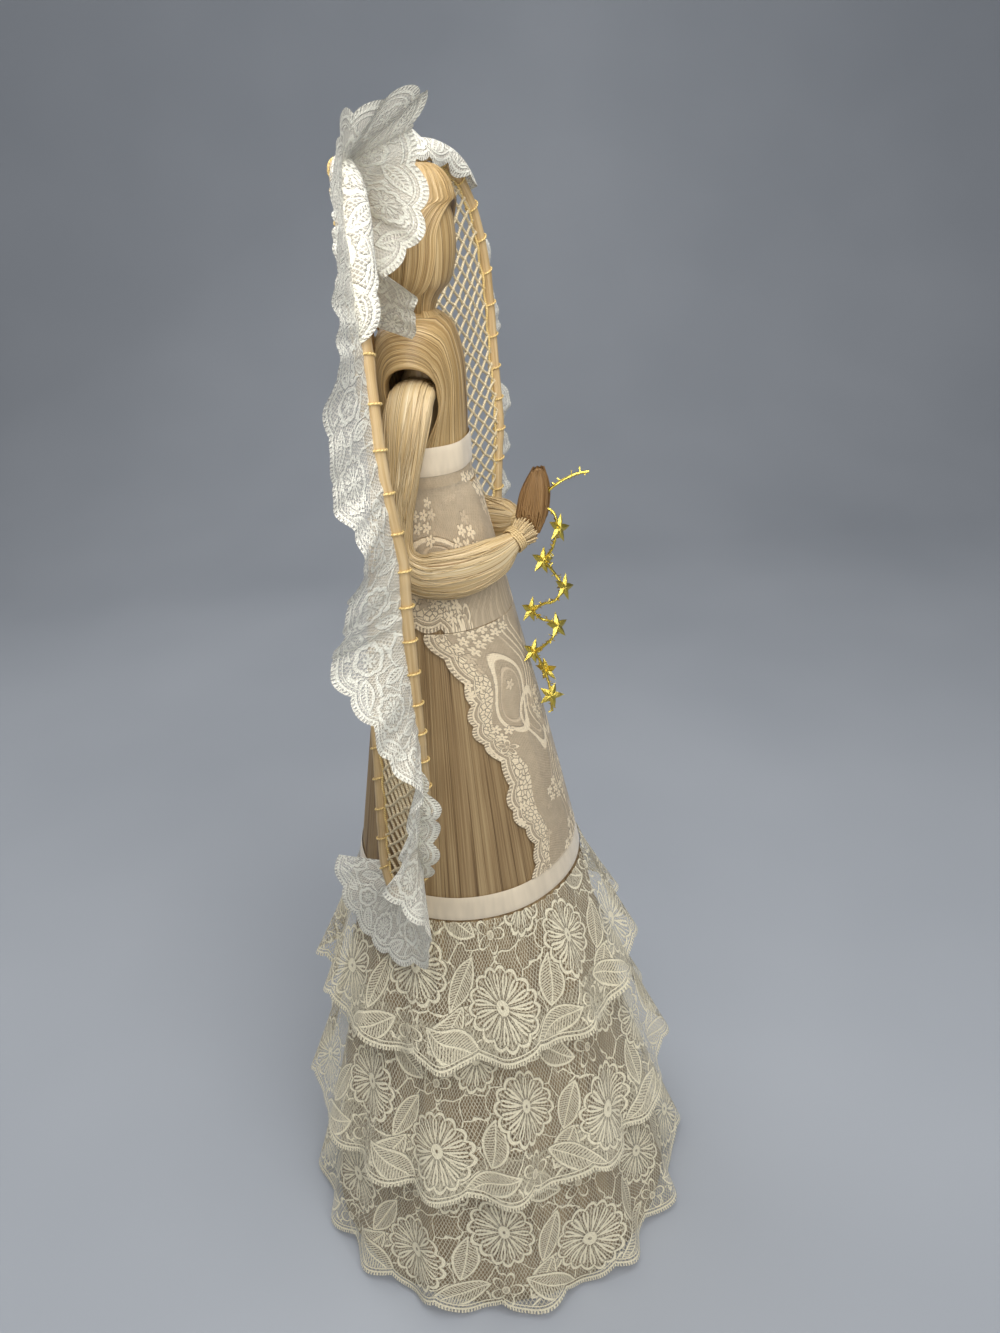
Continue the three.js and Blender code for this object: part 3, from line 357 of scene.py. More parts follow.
def from_node(tree, kind, inputs, **settings):
    """The first output of a new node with these inputs and settings."""
    node = tree.nodes.new("ShaderNode" + kind)
    for name, value in settings.items():
        setattr(node, name, value)
    for key, value in inputs.items():
        feed(tree, node.inputs[key], value)
    return Num(tree, node.outputs[0])


class Num:
    """A number in a shader tree; arithmetic on it adds Math nodes."""

    def __init__(self, tree, socket):
        self.tree, self.socket = tree, socket

    def op(self, operation, *others):
        return from_node(self.tree, "Math", dict(enumerate((self, *others))), operation=operation)

    def __add__(self, other):
        return self.op("ADD", other)

    def __sub__(self, other):
        return self.op("SUBTRACT", other)

    def __mul__(self, other):
        return self.op("MULTIPLY", other)

    def __truediv__(self, other):
        return self.op("DIVIDE", other)

    def __abs__(self):
        return self.op("ABSOLUTE")

    __radd__, __rmul__ = __add__, __mul__

    def __rsub__(self, other):
        return self * -1 + other

    def rise(self, low, high):
        """0 below low, 1 above high, smooth between; high may be the lower one."""
        ends = {"Value": self, "From Min": low, "From Max": high}
        return from_node(self.tree, "MapRange", ends, interpolation_type="SMOOTHSTEP")

    def band(self, middle, half, soft=0.15):
        """1 within half of middle, and 0 outside."""
        return abs(self - middle).rise(half + soft, half - soft)


def most(first, *others):
    for other in others:
        first = first.op("MAXIMUM", other)
    return first


LOOKS = {}


class Shader:
    """A new look: its tree, its main shader and the pattern coordinates in millimetres."""

    def __init__(self, name, roughness, metallic=0.0, coords="UV"):
        LOOKS[name] = bpy.data.materials.new(name)
        LOOKS[name].use_nodes = True
        self.tree = LOOKS[name].node_tree
        self.set("Roughness", roughness)
        self.set("Metallic", metallic)
        source = self.tree.nodes.new("ShaderNodeTexCoord")
        split = self.tree.nodes.new("ShaderNodeSeparateXYZ")
        self.tree.links.new(source.outputs[coords], split.inputs[0])
        scale = 100 if coords == "UV" else 1000
        self.x, self.y, self.z = (Num(self.tree, s) * scale for s in split.outputs)

    def set(self, name, value):
        feed(self.tree, self.tree.nodes["Principled BSDF"].inputs[name], value)

    def texture(self, kind, where, more, **settings):
        """Texture read at a place that is given by two or three numbers."""
        place = from_node(self.tree, "CombineXYZ", dict(enumerate(where)))
        return from_node(self.tree, kind, {"Vector": place, "Scale": 1, **more}, **settings)

    def noise(self, *scales, detail=2.0, where=None):
        """Noise from 0 to 1, its three scales in features per millimetre."""
        where = [value * scale for value, scale in zip(where or (self.x, self.y, self.z), scales)]
        return self.texture("TexNoise", where, {"Detail": detail})

    def cells(self, x, y, size):
        """Distance in millimetres from the walls of irregular cells about size across."""
        return size * self.texture("TexVoronoi", (x / size, y / size), {}, feature="DISTANCE_TO_EDGE",
                                   voronoi_dimensions="2D")

    def colour(self, value, *stops):
        """Colour that follows a value through (place, (r, g, b)) stops."""
        shade = from_node(self.tree, "ValToRGB", {0: value})
        ramp = shade.socket.node.color_ramp
        while len(ramp.elements) < len(stops):
            ramp.elements.new(0.5)
        for element, (place, colour) in zip(ramp.elements, stops):
            element.position = place
            element.color = (*colour, 1)
        self.set("Base Color", shade)

    def bump(self, height, depth, strength=1.0):
        """Bump of a 0 to 1 height that is depth millimetres deep."""
        self.set("Normal", from_node(self.tree, "Bump", {"Strength": strength, "Distance": depth * MM,
                                                         "Height": height}))


def fibre(name, dark, middle, light, roughness, fine=3.0, gap=0.3):
    """Combed fibre: pattern x runs across its strands, y along them; gap darkens the lines between locks,
    which paints shade into the gaps between them.
    """
    s = Shader(name, roughness)
    strands = s.noise(fine, 0.012, 0, detail=3)
    locks = s.noise(fine / 5, 0.006, 0, detail=1)
    flow = s.noise(0.05, 0.03, 0, detail=1)
    lines = s.noise(fine * 0.7, 0.008, 5.0, detail=2).rise(0.42, 0.32)
    # The lines between locks are sunk by the bump and also darkened in colour; that darkening is painted
    # shade in the gaps.
    tone = strands * 0.55 + locks * 0.3 + flow * 0.15 - lines * gap
    s.colour(tone, (0.3, dark), (0.46, middle), (0.62, light))
    s.bump(strands * 0.5 + locks * 0.3 - lines * 0.4, 0.4, 0.9)
    s.set("Roughness", strands * 0.25 + (roughness - 0.12))
    s.set("Specular IOR Level", 0.55)


def flower(x, y, radius, petals, line):
    """Round lace flower about (0, 0): looped petals and a dense middle inside a scalloped band."""
    r = (x * x + y * y).op("SQRT")
    turn = y.op("ARCTAN2", x) * (petals / (2 * math.pi))
    side = abs(turn.op("FRACT") - 0.5) * 2
    core = radius * 0.17
    depth = (1 - side * side * 0.13) * radius - r
    rim = depth.band(line * 1.1, line * 1.1, 0.25)
    long_way = (r - core) / (radius - 4.2 * line - core)
    swell = long_way.op("MAXIMUM", 0.0).op("SQRT") * (1 - long_way).op("MAXIMUM", 0.0).op("POWER", 0.35)
    width = swell * r * (math.pi / petals) * 1.05
    petal = (width - (1 - side) * r * (math.pi / petals)).band(line * 0.6, line * 0.75, 0.25)
    petal = petal * r.rise(core * 0.8, core) * depth.rise(line * 2.4, line * 3)
    spoke = side.rise(0.25, 0.02) * r.rise(core, core + 0.5) * depth.rise(line * 2.2, line * 2.8)
    middle = r.rise(core + 0.5, core) - r.rise(core * 0.35, core * 0.15) * 0.8
    return most(rim, petal, spoke * 0.8, middle), depth.rise(-0.8, 0)


def blossom(x, y, radius, line):
    """Small flower of five solid petals about (0, 0), outlined where line is given."""
    r = (x * x + y * y).op("SQRT")
    petal = abs((y.op("ARCTAN2", x) * (BLOSSOM_PETALS / 2)).op("COSINE"))
    depth = (petal * 0.62 + 0.38) * radius - r
    full = depth.rise(-0.15, 0.2)
    if line:
        full = most(depth.band(line * 0.6, line * 0.7, 0.2), r.rise(radius * 0.26, radius * 0.2)) * full
    return full - r.rise(radius * 0.2, radius * 0.1) * 0.5, depth.rise(-0.6, 0)


def leaf(x, y, angle, length, width, line):
    """Outlined leaf about (0, 0), hatched inside, with a vein."""
    c, s = math.cos(angle), math.sin(angle)
    along, across = x * c + y * s, y * c - x * s
    depth = (1 - (along / length) * (along / length)) * width - abs(across)
    outline = depth.band(line * 0.6, line * 0.6, 0.2)
    hatch = ((along + abs(across) * 0.6) * 0.8).op("FRACT").band(0.5, 0.3, 0.12) * depth.rise(0.2, 0.6)
    vein = abs(across).rise(0.6, 0.25) * depth.rise(0.2, 0.6)
    return most(outline, hatch * 0.8, vein), depth.rise(-0.8, 0)


def loop(x, y, angle, length, width, line):
    """Oval cord about (0, 0) with a finer one inside it."""
    c, s = math.cos(angle), math.sin(angle)
    along, across = (x * c + y * s) / length, (y * c - x * s) / width
    out = ((along * along + across * across).op("SQRT") - 1) * width
    return most(out.band(0, line * 0.8, 0.2), out.band(-2.2, line * 0.35, 0.15) * 0.7)


def spray(s, x, y, cell, radius, share):
    """Tiny flowers in loose clusters: one in each square cell where a slow noise is above share."""
    row = (y / cell).op("FLOOR")
    shifted = x + row * (cell * 0.37)
    column = (shifted / cell).op("FLOOR")
    here = s.noise(0.31, 0.31, 0.11, detail=0, where=(column, row, row)).rise(share, share + 0.02)
    shape, inside = blossom(shifted - (column + 0.5) * cell, y - (row + 0.5) * cell, radius, 0)
    return shape * here, inside * here


def lace(name, thread, repeat, hem, net, veil, flowers, leaves=(), loops=(), sprays=None, bars=None,
         border=None, strands=None, close=None, line=1.0, ground=0.76):
    """Lace sheet: pattern x runs along it, and y is minus the height above its hem.

    hem is (scallop, depth), net (pitch, half width of its threads, cover), veil the cover of the net's gaps.
    flowers are (along, up, radius, petals), leaves and loops (along, up, degrees, length, width), sprays
    (cell, radius, share), bars (cell, half width) of the cords that join the motifs, border (height, cell)
    of a close edging, strands (low, high, pitch) of cords along the sheet, and close (from, to, cover) where
    it is drawn up. ground is how bright the net is beside the motifs.
    """
    s = Shader(name, 0.8)
    sway, dip = s.noise(0.03, 0.03, 0, detail=0), s.noise(0.035, 0.03, 7.0, detail=0)
    fuzz = s.noise(1.1, 1.1, 0, detail=1) - 0.5
    x = s.x + (sway - 0.5) * 9 + fuzz * 0.7
    height = s.y * -1
    y = height + (dip - 0.5) * 5 + fuzz * 0.5
    scallop, depth = hem
    lobe = (x / scallop).op("FRACT") * 2 - 1
    edge = height - lobe * lobe * depth
    teeth = (x / TOOTH_PITCH).op("FRACT").band(0.5, 0.27, 0.1)
    outer, inner = HEM_CORDS
    motif = most(edge.rise(2.1, 1.7) * teeth, edge.band(outer, line * 0.55), edge.band(inner, line * 0.35))
    clear = edge.rise(inner + 0.1, inner + 0.7)

    def beside(along):
        return ((x - along) / repeat + 0.5).op("FRACT") * repeat - repeat / 2

    def lay(shape, inside):
        """Adds a motif, and keeps what comes later clear of it."""
        nonlocal motif, clear
        motif = most(motif, shape)
        clear = clear.op("MINIMUM", 1 - inside)

    for along, up, radius, petals in flowers:
        if petals == BLOSSOM_PETALS:
            lay(*blossom(beside(along), y - up, radius, line))
        else:
            lay(*flower(beside(along), y - up, radius, petals, line * 0.75))
    for along, up, degrees, length, width in leaves:
        shape, inside = leaf(beside(along), y - up, math.radians(degrees), length, width, line)
        lay(shape * clear, inside)
    if sprays:
        lay(*spray(s, x, y, *sprays))
    for along, up, degrees, length, width in loops:
        oval_cord = loop(beside(along), y - up, math.radians(degrees), length, width, line)
        motif = most(motif, oval_cord * clear)
    if bars:
        cell, half = bars
        curl_x = x + (s.noise(0.11, 0.11, 3.0) - 0.5) * 9
        curl_y = y + (s.noise(0.11, 0.11, 9.0) - 0.5) * 9
        motif = most(motif, s.cells(curl_x, curl_y, cell).rise(half + 0.2, half - 0.2) * clear)
    if border:
        top, cell = border
        clumps = s.cells(x, y, cell).rise(0.06, 0.22) * (y + (sway - 0.5) * 8).rise(top + 0.8, top)
        motif = most(motif, clumps * clear)
    if strands:
        low, high, pitch = strands
        lines = ((y + (sway - 0.5) * 9) / pitch).op("FRACT").band(0.5, 0.2, 0.12)
        lines = lines * s.x.rise(STRANDS_END + 1, STRANDS_END)
        motif = most(motif, lines * y.band((low + high) / 2, (high - low) / 2, 1.0) * clear)
    pitch, half, cover = net
    thread_a = ((x * 0.87 + y * 0.5) / pitch).op("FRACT").band(0.5, half, 0.08)
    thread_b = ((x * 0.87 - y * 0.5) / pitch).op("FRACT").band(0.5, half, 0.08)
    mesh = most(thread_a, thread_b) * cover
    filled = s.noise(0.4, 0.4, 2.0) * 0.16 + s.noise(0.05, 0.05, 6.0) * 0.3 + (veil - 0.23)
    if close:
        start, end, added = close
        filled = filled + s.x.rise(start, end) * added
    motif = motif * (s.noise(2.4, 2.4, 4.0) * 0.5 + 0.72)
    s.set("Alpha", most(motif, mesh, filled) * edge.rise(0, 0.3))
    tone = s.noise(0.25, 0.25, 0) * 0.35 + motif * 0.5 + (fuzz + 0.5) * 0.15
    dark, light = tuple(ground * c for c in thread), tuple(min(1, 1.08 * c) for c in thread)
    s.colour(tone, (0.2, dark), (0.55, thread), (0.85, light))
    s.bump(motif * 0.75 + mesh * 0.3 + fuzz * 0.25, 0.55)
    s.set("Sheen Weight", 0.15)


def satin(name, colour):
    s = Shader(name, 0.36)
    weave = (s.x * 9).op("FRACT").band(0.5, 0.3, 0.2) * 0.5 + s.noise(0.8, 0.12, 0) * 0.5
    dark, light = tuple(0.9 * c for c in colour), tuple(min(1, 1.05 * c) for c in colour)
    s.colour(s.noise(0.25, 0.05, 0), (0.35, dark), (0.65, light))
    s.bump(weave, 0.06, 0.5)
    s.set("Sheen Weight", 0.3)


def cane(name):
    s = Shader(name, 0.42)
    grain = s.noise(1.6, 0.03, 0, detail=3)
    patch = s.noise(0.06, 0.02, 0)
    tone = grain * 0.55 + patch * 0.45
    s.colour(tone, (0.3, (0.4, 0.25, 0.1)), (0.5, (0.61, 0.43, 0.21)), (0.68, (0.76, 0.58, 0.33)))
    s.bump(grain, 0.15, 0.6)
    s.set("Roughness", grain * 0.2 + 0.32)


def twisted(name, dark, light, roughness=0.6):
    """Spun thread: slanting plies round the tube."""
    s = Shader(name, roughness)
    ply = (s.y / PLY_PITCH + s.x * 0.2).op("FRACT")
    height = ply.band(0.5, 0.42, 0.2)
    s.colour(height * 0.6 + s.noise(0.6, 0.3, 0) * 0.4, (0.2, dark), (0.75, light))
    s.bump(height, 0.18, 0.8)


def mottled(name, roughness, noise, detail, stops, depth, **options):
    """Plain stuff whose colour and bump follow one noise."""
    s = Shader(name, roughness, **options)
    patches = s.noise(*noise, detail=detail)
    s.colour(patches, *stops)
    s.bump(patches, depth, 0.6)


fibre("straw", (0.14, 0.08, 0.03), (0.3, 0.195, 0.088), (0.45, 0.32, 0.16), 0.5, fine=1.7, gap=0.16)
fibre("blonde_fibre", (0.17, 0.09, 0.026), (0.44, 0.28, 0.108), (0.76, 0.57, 0.3), 0.36)
fibre("pale_fibre", (0.32, 0.185, 0.066), (0.63, 0.45, 0.215), (0.86, 0.72, 0.47), 0.36)
fibre("brown_fibre", (0.075, 0.03, 0.009), (0.24, 0.12, 0.036), (0.48, 0.29, 0.115), 0.42)
twisted("thread", (0.42, 0.28, 0.1), (0.72, 0.54, 0.28))
twisted("gold_thread", (0.45, 0.27, 0.06), (0.85, 0.62, 0.25), 0.4)
twisted("net_thread", (0.46, 0.33, 0.16), (0.8, 0.67, 0.43))
cane("cane")
satin("satin", (0.8, 0.68, 0.5))
mottled("gold_foil", 0.18, (0.4, 0.4, 0), 3,
        [(0.3, (0.62, 0.46, 0.05)), (0.6, (0.9, 0.72, 0.16)), (0.8, (1, 0.88, 0.36))], 0.25, metallic=1)
mottled("card", 0.9, (0.5, 0.5, 0.5), 5,
        [(0.3, (0.34, 0.25, 0.14)), (0.55, (0.46, 0.35, 0.21)), (0.75, (0.55, 0.43, 0.28))], 0.2,
        coords="Object")
TIER_FLOWERS = [(0, 24, 18, 15), (46, 41, 17, 14), (45, 13, 9, 5), (-3, 55, 9, 5), (20, 66, 15, 13)]
TIER_LEAVES = [(24, 10, 20, 14, 6.5), (-25, 11, 150, 14, 6.5), (26, 29, 75, 12, 6), (-21, 36, 60, 13, 6.5),
               (-23, 62, 150, 13, 6.5), (64, 17, 50, 12, 6), (-20, 22, 20, 7, 4)]
lace("ivory_lace", (0.95, 0.85, 0.615), 92, (29, 4.5), (1.5, 0.12, 0.85), 0.1, TIER_FLOWERS, TIER_LEAVES,
     bars=(12.5, 0.45))
TRIM_FLOWERS = [(0, 12.5, 7.5, 11), (22, 14, 5.5, 6)]
TRIM_LEAVES = [(11, 7, 30, 7, 3), (-12, 8, 145, 7, 3), (12, 20, 80, 5, 2.6), (-11, 20, 100, 5, 2.6)]
lace("white_lace", (0.97, 0.92, 0.79), 44, (13, 2.6), (1.0, 0.2, 1.0), 0.5, TRIM_FLOWERS, TRIM_LEAVES,
     bars=(7, 0.55), close=(*LACE_DRAWN_UP, 0.35))
SPRIGS = [(0, 8, 4, 5), (50, 9, 4, 5)]
SWIRLS = [(30, 19.5, 4, 16, 7), (44, 27, -8, 13, 5)]
lace("blush_lace", (0.97, 0.79, 0.545), 104, (9, 1.6), (0.8, 0.18, 0.7), 0.58, SPRIGS, loops=SWIRLS,
     sprays=(4.2, 2.3, 0.58), border=(11, 1.9), strands=(27, 36, 2.3), line=0.85, ground=0.72)

for node, look in (("card_cone", "card"), ("torso_core", "straw"), ("neck_stem", "cane")):
    nodes[node].data.materials.clear()
    nodes[node].data.materials.append(LOOKS[look])


# Straw skirt: lengthwise fibre on the cone
def straw_skirt():
    columns, rows = 900, 48
    relief = strand_relief(columns, SEEDS["straw"], STRAW_BUNDLE)
    z = np.linspace(1, SKIRT_HEIGHT, rows)
    drift = np.stack([np.roll(relief, int(2 * math.sin(k / 4))) for k in range(rows)], 1)
    radius = skirt_radius(z)[None] - STRAW_RELIEF + STRAW_RELIEF * drift
    points = oval(radius, radius, all_round(columns)[:, None], z)
    foot = points[:, :1] * (STRAW_FOOT_IN, STRAW_FOOT_IN, 1)
    around = np.linspace(0, 2 * np.pi * STRAW_PATTERN_RADIUS, columns + 1)
    uv = pattern(around[:, None], np.r_[0, z][None])
    b = Builder().grid(np.concatenate([foot, points], 1), wrap_u=True, uv=uv)
    b.build("straw", "straw", "straw_skirt")


straw_skirt()


# Lace flounces
def tier(name):
    hem_z, flare, top_z = TIERS[name]
    seed, columns = SEEDS[name], 420
    angle, v = all_round(columns), np.linspace(0, 1, 26)
    fold = np.cos(TIER_FOLDS * angle + 1.6 * wander(columns, seed, (1, 2, 3)))
    size = 0.62 + 0.38 * wander(columns, seed + 1, (2, 3, 5))
    minor = wander(columns, seed + 2, (23, 29, 34)) * 0.22
    ripple = np.maximum(TIER_RIPPLE * (fold * size + minor), 1.2 - flare)
    top_radius, hem_radius = skirt_radius(top_z) + LACE_ON_STRAW, skirt_radius(hem_z) + flare
    base = top_radius + (hem_radius - top_radius) * v
    gather = 0.5 * wander(columns, seed + 3, (61, 73, 80))
    radius = base[None] + np.outer(ripple, v ** 1.3) + np.outer(gather, (1 - v) ** 2)
    z = top_z + (hem_z - top_z) * v[None] + np.outer(0.22 * (ripple + 3), v ** 2)
    points = oval(radius, radius, angle[:, None], z)
    b = Builder().grid(points, wrap_u=True, uv=sheet_uv(points, True))
    piece = b.build(f"flounce_{name}", "ivory_lace", f"lace_tier_{name}")


for name in TIERS:
    tier(name)


# Lace that lies flat on the skirt, and the satin ribbons
def apron():
    top, bottom = BODICE[0] - 0.3, SKIRT_RIBBON + RIBBON_WIDTH / 2 + 0.3
    u, v = np.linspace(-1, 1, 140), np.linspace(0, 1, 90)
    z = top + (bottom - top) * v
    radius = skirt_radius(z) + APRON_ON_STRAW
    edge = np.radians(APRON_ANGLES[0] + (APRON_ANGLES[1] - APRON_ANGLES[0]) * np.sin(v * np.pi / 2))
    scallops = 1 + 0.7 * np.cos(2 * np.pi * (3 * v - 0.1)) + smooth(v, 0.1, 0)
    edge = edge + APRON_SCALLOP_DEPTH * scallops / radius
    r = radius[None] + np.outer(0.25 * wander(len(u), SEEDS["apron"], (5, 8, 13)), np.sin(np.pi * v))
    angle = np.outer(u, edge)
    points = np.stack([r * np.sin(angle), -r * np.cos(angle), np.broadcast_to(z, r.shape)], 2)
    from_edge = np.outer(1 - abs(u), edge * radius)
    b = Builder().grid(points, uv=pattern((v * APRON_LENGTH)[None], -from_edge))
    piece = b.build("apron", "blush_lace", "apron_lace")


def bodice():
    columns = 200
    z = np.linspace(BODICE_TUCK, BODICE[0], 36)
    under = smooth(z, BODICE[1] - 4, BODICE[1] + 4)
    wave = np.outer(0.2 * wander(columns, SEEDS["bodice"], (5, 9, 14)), 1 - under)
    on_skirt = skirt_radius(np.minimum(z, SKIRT_HEIGHT)) + LACE_ON_STRAW
    wide, deep = (on_skirt + (half + 0.45 - on_skirt) * under + wave for half in CAPE_RINGS[0][1:])
    points = oval(wide, deep, all_round(columns)[:, None], z[None])
    turn = np.linspace(0, 2 * np.pi, columns + 1)
    from_front = abs((turn + np.pi / 2 + np.pi) % (2 * np.pi) - np.pi)
    beside = np.outer(np.maximum(0, np.radians(APRON_ANGLES[0]) - from_front), on_skirt)
    from_edge = np.hypot(beside, (z - BODICE[0])[None])
    along = (2 * STRANDS_END + turn * skirt_radius(BODICE[0]))[:, None]
    b = Builder().grid(points, wrap_u=True, uv=pattern(along, -from_edge))
    piece = b.build("bodice", "blush_lace", "bodice_lace")


def ribbon(name, node, middle, halves=None):
    """Satin band round the skirt, or an oval of the given halves: a little wavy, its edges turned in."""
    columns, seed = 220, SEEDS[name]
    across = np.linspace(1, -1, 9)
    z = middle + across[None] * RIBBON_WIDTH / 2 + 0.35 * wander(columns, seed, (2, 3, 5))[:, None]
    lift = RIBBON_LIFT - 0.3 * across[None] ** 6 + 0.12 * wander(columns, seed + 1, (6, 9, 11))[:, None]
    wide, deep = halves or (skirt_radius(z), skirt_radius(z))
    points = oval(wide + lift, deep + lift, all_round(columns)[:, None], z)
    b = Builder().grid(points, wrap_u=True, uv=sheet_uv(points, True))
    b.build(name, "satin", node)


apron()
bodice()
ribbon("satin_sash", "skirt_ribbon", SKIRT_RIBBON)
ribbon("satin_bust", "bust_ribbon", BUST_RIBBON, BUST_HALVES)


# Combed fibre
def flowing_relief(columns, rows, seed, bundle, drift):
    """Strand relief whose strands wander a little along their length."""
    base = strand_relief(columns, seed, bundle)
    shift = drift * wander(rows, seed + 1, (1, 2, 3), False)
    index = np.arange(columns)[:, None] + shift[None]
    return np.interp(index % columns, np.arange(columns + 1), np.r_[base, base[:1]]) - 0.5


def combed(name, look, points, seed, *replaced, bundle, drift, depth, width, wrap=True, fade=1):
    """Combed fibre on a grid: strands are the columns, and their relief stands out along the normals."""
    du = np.roll(points, -1, 0) - np.roll(points, 1, 0) if wrap else np.gradient(points, axis=0)
    normal = np.cross(du, np.gradient(points, axis=1))
    normal = normal / np.maximum(np.linalg.norm(normal, axis=2, keepdims=True), 1e-9)
    relief = flowing_relief(*points.shape[:2], seed, bundle, drift) * fade
    shifted = points + normal * (relief * depth)[:, :, None]
    along = np.linalg.norm(np.diff(points, axis=1), axis=2).mean(0).cumsum()
    across = np.linspace(0, width, len(points) + (1 if wrap else 0))
    b = Builder().grid(shifted, wrap_u=wrap, uv=pattern(across[:, None], np.r_[0, along][None]))
    b.build(name, look, *replaced)


# Shoulder cape: fibre that runs up the front, over the armhole and the shoulder, and down the back
def cape_half(side):
    rings = catmull(CAPE_RINGS, 200)

    def wide(z):
        return np.interp(z, rings[:, 0], rings[:, 1])

    def deep(z):
        return np.interp(z, rings[:, 0], rings[:, 2])

    spring = ARMHOLE_TOP - ARMHOLE_RADIUS
    leg, turn = np.linspace(0, 1, 26), np.linspace(np.pi, 0, 28)[1:-1]
    rise = CAPE_FOOT + (spring - CAPE_FOOT) * leg
    open_by = ARMHOLE_RADIUS * smooth(rise, *ARMHOLE_OPENS)
    arch = np.stack([ARMHOLE_Y + ARMHOLE_RADIUS * np.cos(turn), spring + ARMHOLE_RADIUS * np.sin(turn)], 1)
    inner = np.vstack([np.stack([ARMHOLE_Y - open_by, rise], 1), arch,
                       np.stack([ARMHOLE_Y + open_by, rise], 1)[::-1]])
    limb, neck = CAPE_FOOT + (CAPE_NECK - CAPE_FOOT) * leg, deep(CAPE_NECK)
    over = catmull([(-neck, CAPE_NECK), *SHOULDER_RIDGE, (neck, CAPE_NECK)], 28)[1:-1]
    outer = np.vstack([np.stack([-deep(limb), limb], 1), over, np.stack([deep(limb), limb], 1)[::-1]])
    share = (np.linspace(0, 1, 110) ** 0.85)[:, None, None]
    flat = inner[None] * (1 - share) + outer[None] * share
    y, z = flat[:, :, 0], flat[:, :, 1]
    x = -wide(z) * np.sqrt(np.maximum(0, 1 - (y / deep(z)) ** 2))
    points = np.stack([x, y, z], 2)
    away, inward = unit(points[0] - points[4]), -np.sign(points[0]) * (1, 0, 0)
    lip = [points[0] + CAPE_LIP * (math.sin(a) * away + (1 - math.cos(a)) * inward) for a in (0.5, 1, 1.57)]
    lip.append(lip[-1] + CAPE_LINING * inward)
    points = to_side(np.concatenate([np.array(lip[::-1]), points]), side)
    replaced = ["shoulder_cape"] if side == "right" else []
    combed(f"cape_{side}", "blonde_fibre", points, SEEDS["cape"] + SIDES[side], *replaced,
           bundle=6, drift=1.0, depth=0.55, width=40, wrap=False)


def collar():
    """Fibre drawn in from the cape's neck to the thread that ties it."""
    columns, rows = 120, 8
    share = np.linspace(0, 1, rows)[None]
    wide, deep = (half + (NECK_RADIUS - half) * share for half in COLLAR_HALVES)
    z = CAPE_NECK + COLLAR_RISE * np.sin(np.pi * 0.6 * share)
    points = oval(wide, deep, all_round(columns)[:, None], z, HEAD[1] * share)
    combed("collar", "blonde_fibre", points, SEEDS["collar"], bundle=5, drift=0.5, depth=-0.5, width=30)


# Arms: bundles fanned at shoulder and forearm, drawn in at the elbow and the wrist
def arm(side):
    rows, columns = 110, 84
    path = catmull(ARM_PATH, rows)
    keys = run_of(np.array(ARM_PATH, float))
    place = np.interp(np.linspace(0, keys[-1], rows), keys, np.arange(len(ARM_HALVES)))
    size = catmull([(10 * k, *half) for k, half in enumerate(ARM_HALVES)], 300)
    half_wide, half_thin = (np.interp(10 * place, size[:, 0], size[:, k])[:, None] for k in (1, 2))
    tangent = unit(np.gradient(path, axis=0))
    wide = carried(tangent, (0, 1, 0))
    thin = np.cross(tangent, wide)
    angle = all_round(columns)[:, None, None]
    points = path[None] + (np.cos(angle) * (wide * half_wide) + np.sin(angle) * (thin * half_thin))
    combed(f"arm_{side}", "pale_fibre", to_side(points, side), SEEDS["arm"] + SIDES[side], f"{side}_arm",
           bundle=5, drift=2.5, depth=0.7, width=42)
    rng = np.random.default_rng(SEEDS["strands"])
    b = Builder()
    for _ in range(ARM_STRANDS):
        first, last = np.sort(rng.uniform(8, rows - 4, 2)).astype(int)
        k = np.arange(first, max(last, first + 24))
        k = k[k < rows - 2]
        turn = rng.uniform(0, 2 * np.pi) + 0.25 * np.sin(k / rng.uniform(9, 20) + rng.uniform(0, 6))
        lift = 1 + 0.09 * rng.uniform(0, 1) * np.sin(np.pi * np.linspace(0, 1, len(k)))
        strand = path[k] + (lift * np.cos(turn))[:, None] * wide[k] * half_wide[k]
        strand = strand + (lift * np.sin(turn))[:, None] * thin[k] * half_thin[k]
        b.tube(strand * MIRROR[side], ARM_STRAND_RADIUS, 4)
    tuft(b, side, path[-1], tangent[-1], wide[-1], thin[-1])
    b.build(f"strands_{side}", "pale_fibre")


def tuft(b, side, base, along, wide, thin):
    """Cut ends of the fibre past the wrist tie; they stop short of the palm."""
    rng = np.random.default_rng(SEEDS["tuft"])
    s = np.linspace(0, 1, 5)[:, None]
    for _ in range(TUFT_STRANDS):
        angle, out = rng.uniform(0, 2 * np.pi), rng.uniform(0.05, 1) ** 0.5
        ray = math.cos(angle) * wide + math.sin(angle) * thin
        path = base - along + (1 + rng.uniform(5.2, 6.8)) * s * along + ray * out * (2.7 + 2.7 * s)
        beyond = path[-1, 0] - (HAND_BASE[0] - HAND_HALF[0] - 0.4)
        if beyond > 0:
            path -= s * beyond * np.array((1, -0.3, 0.2))
        b.tube(path * MIRROR[side], np.array([0.3, 0.3, 0.28, 0.26, 0.2]), 4)


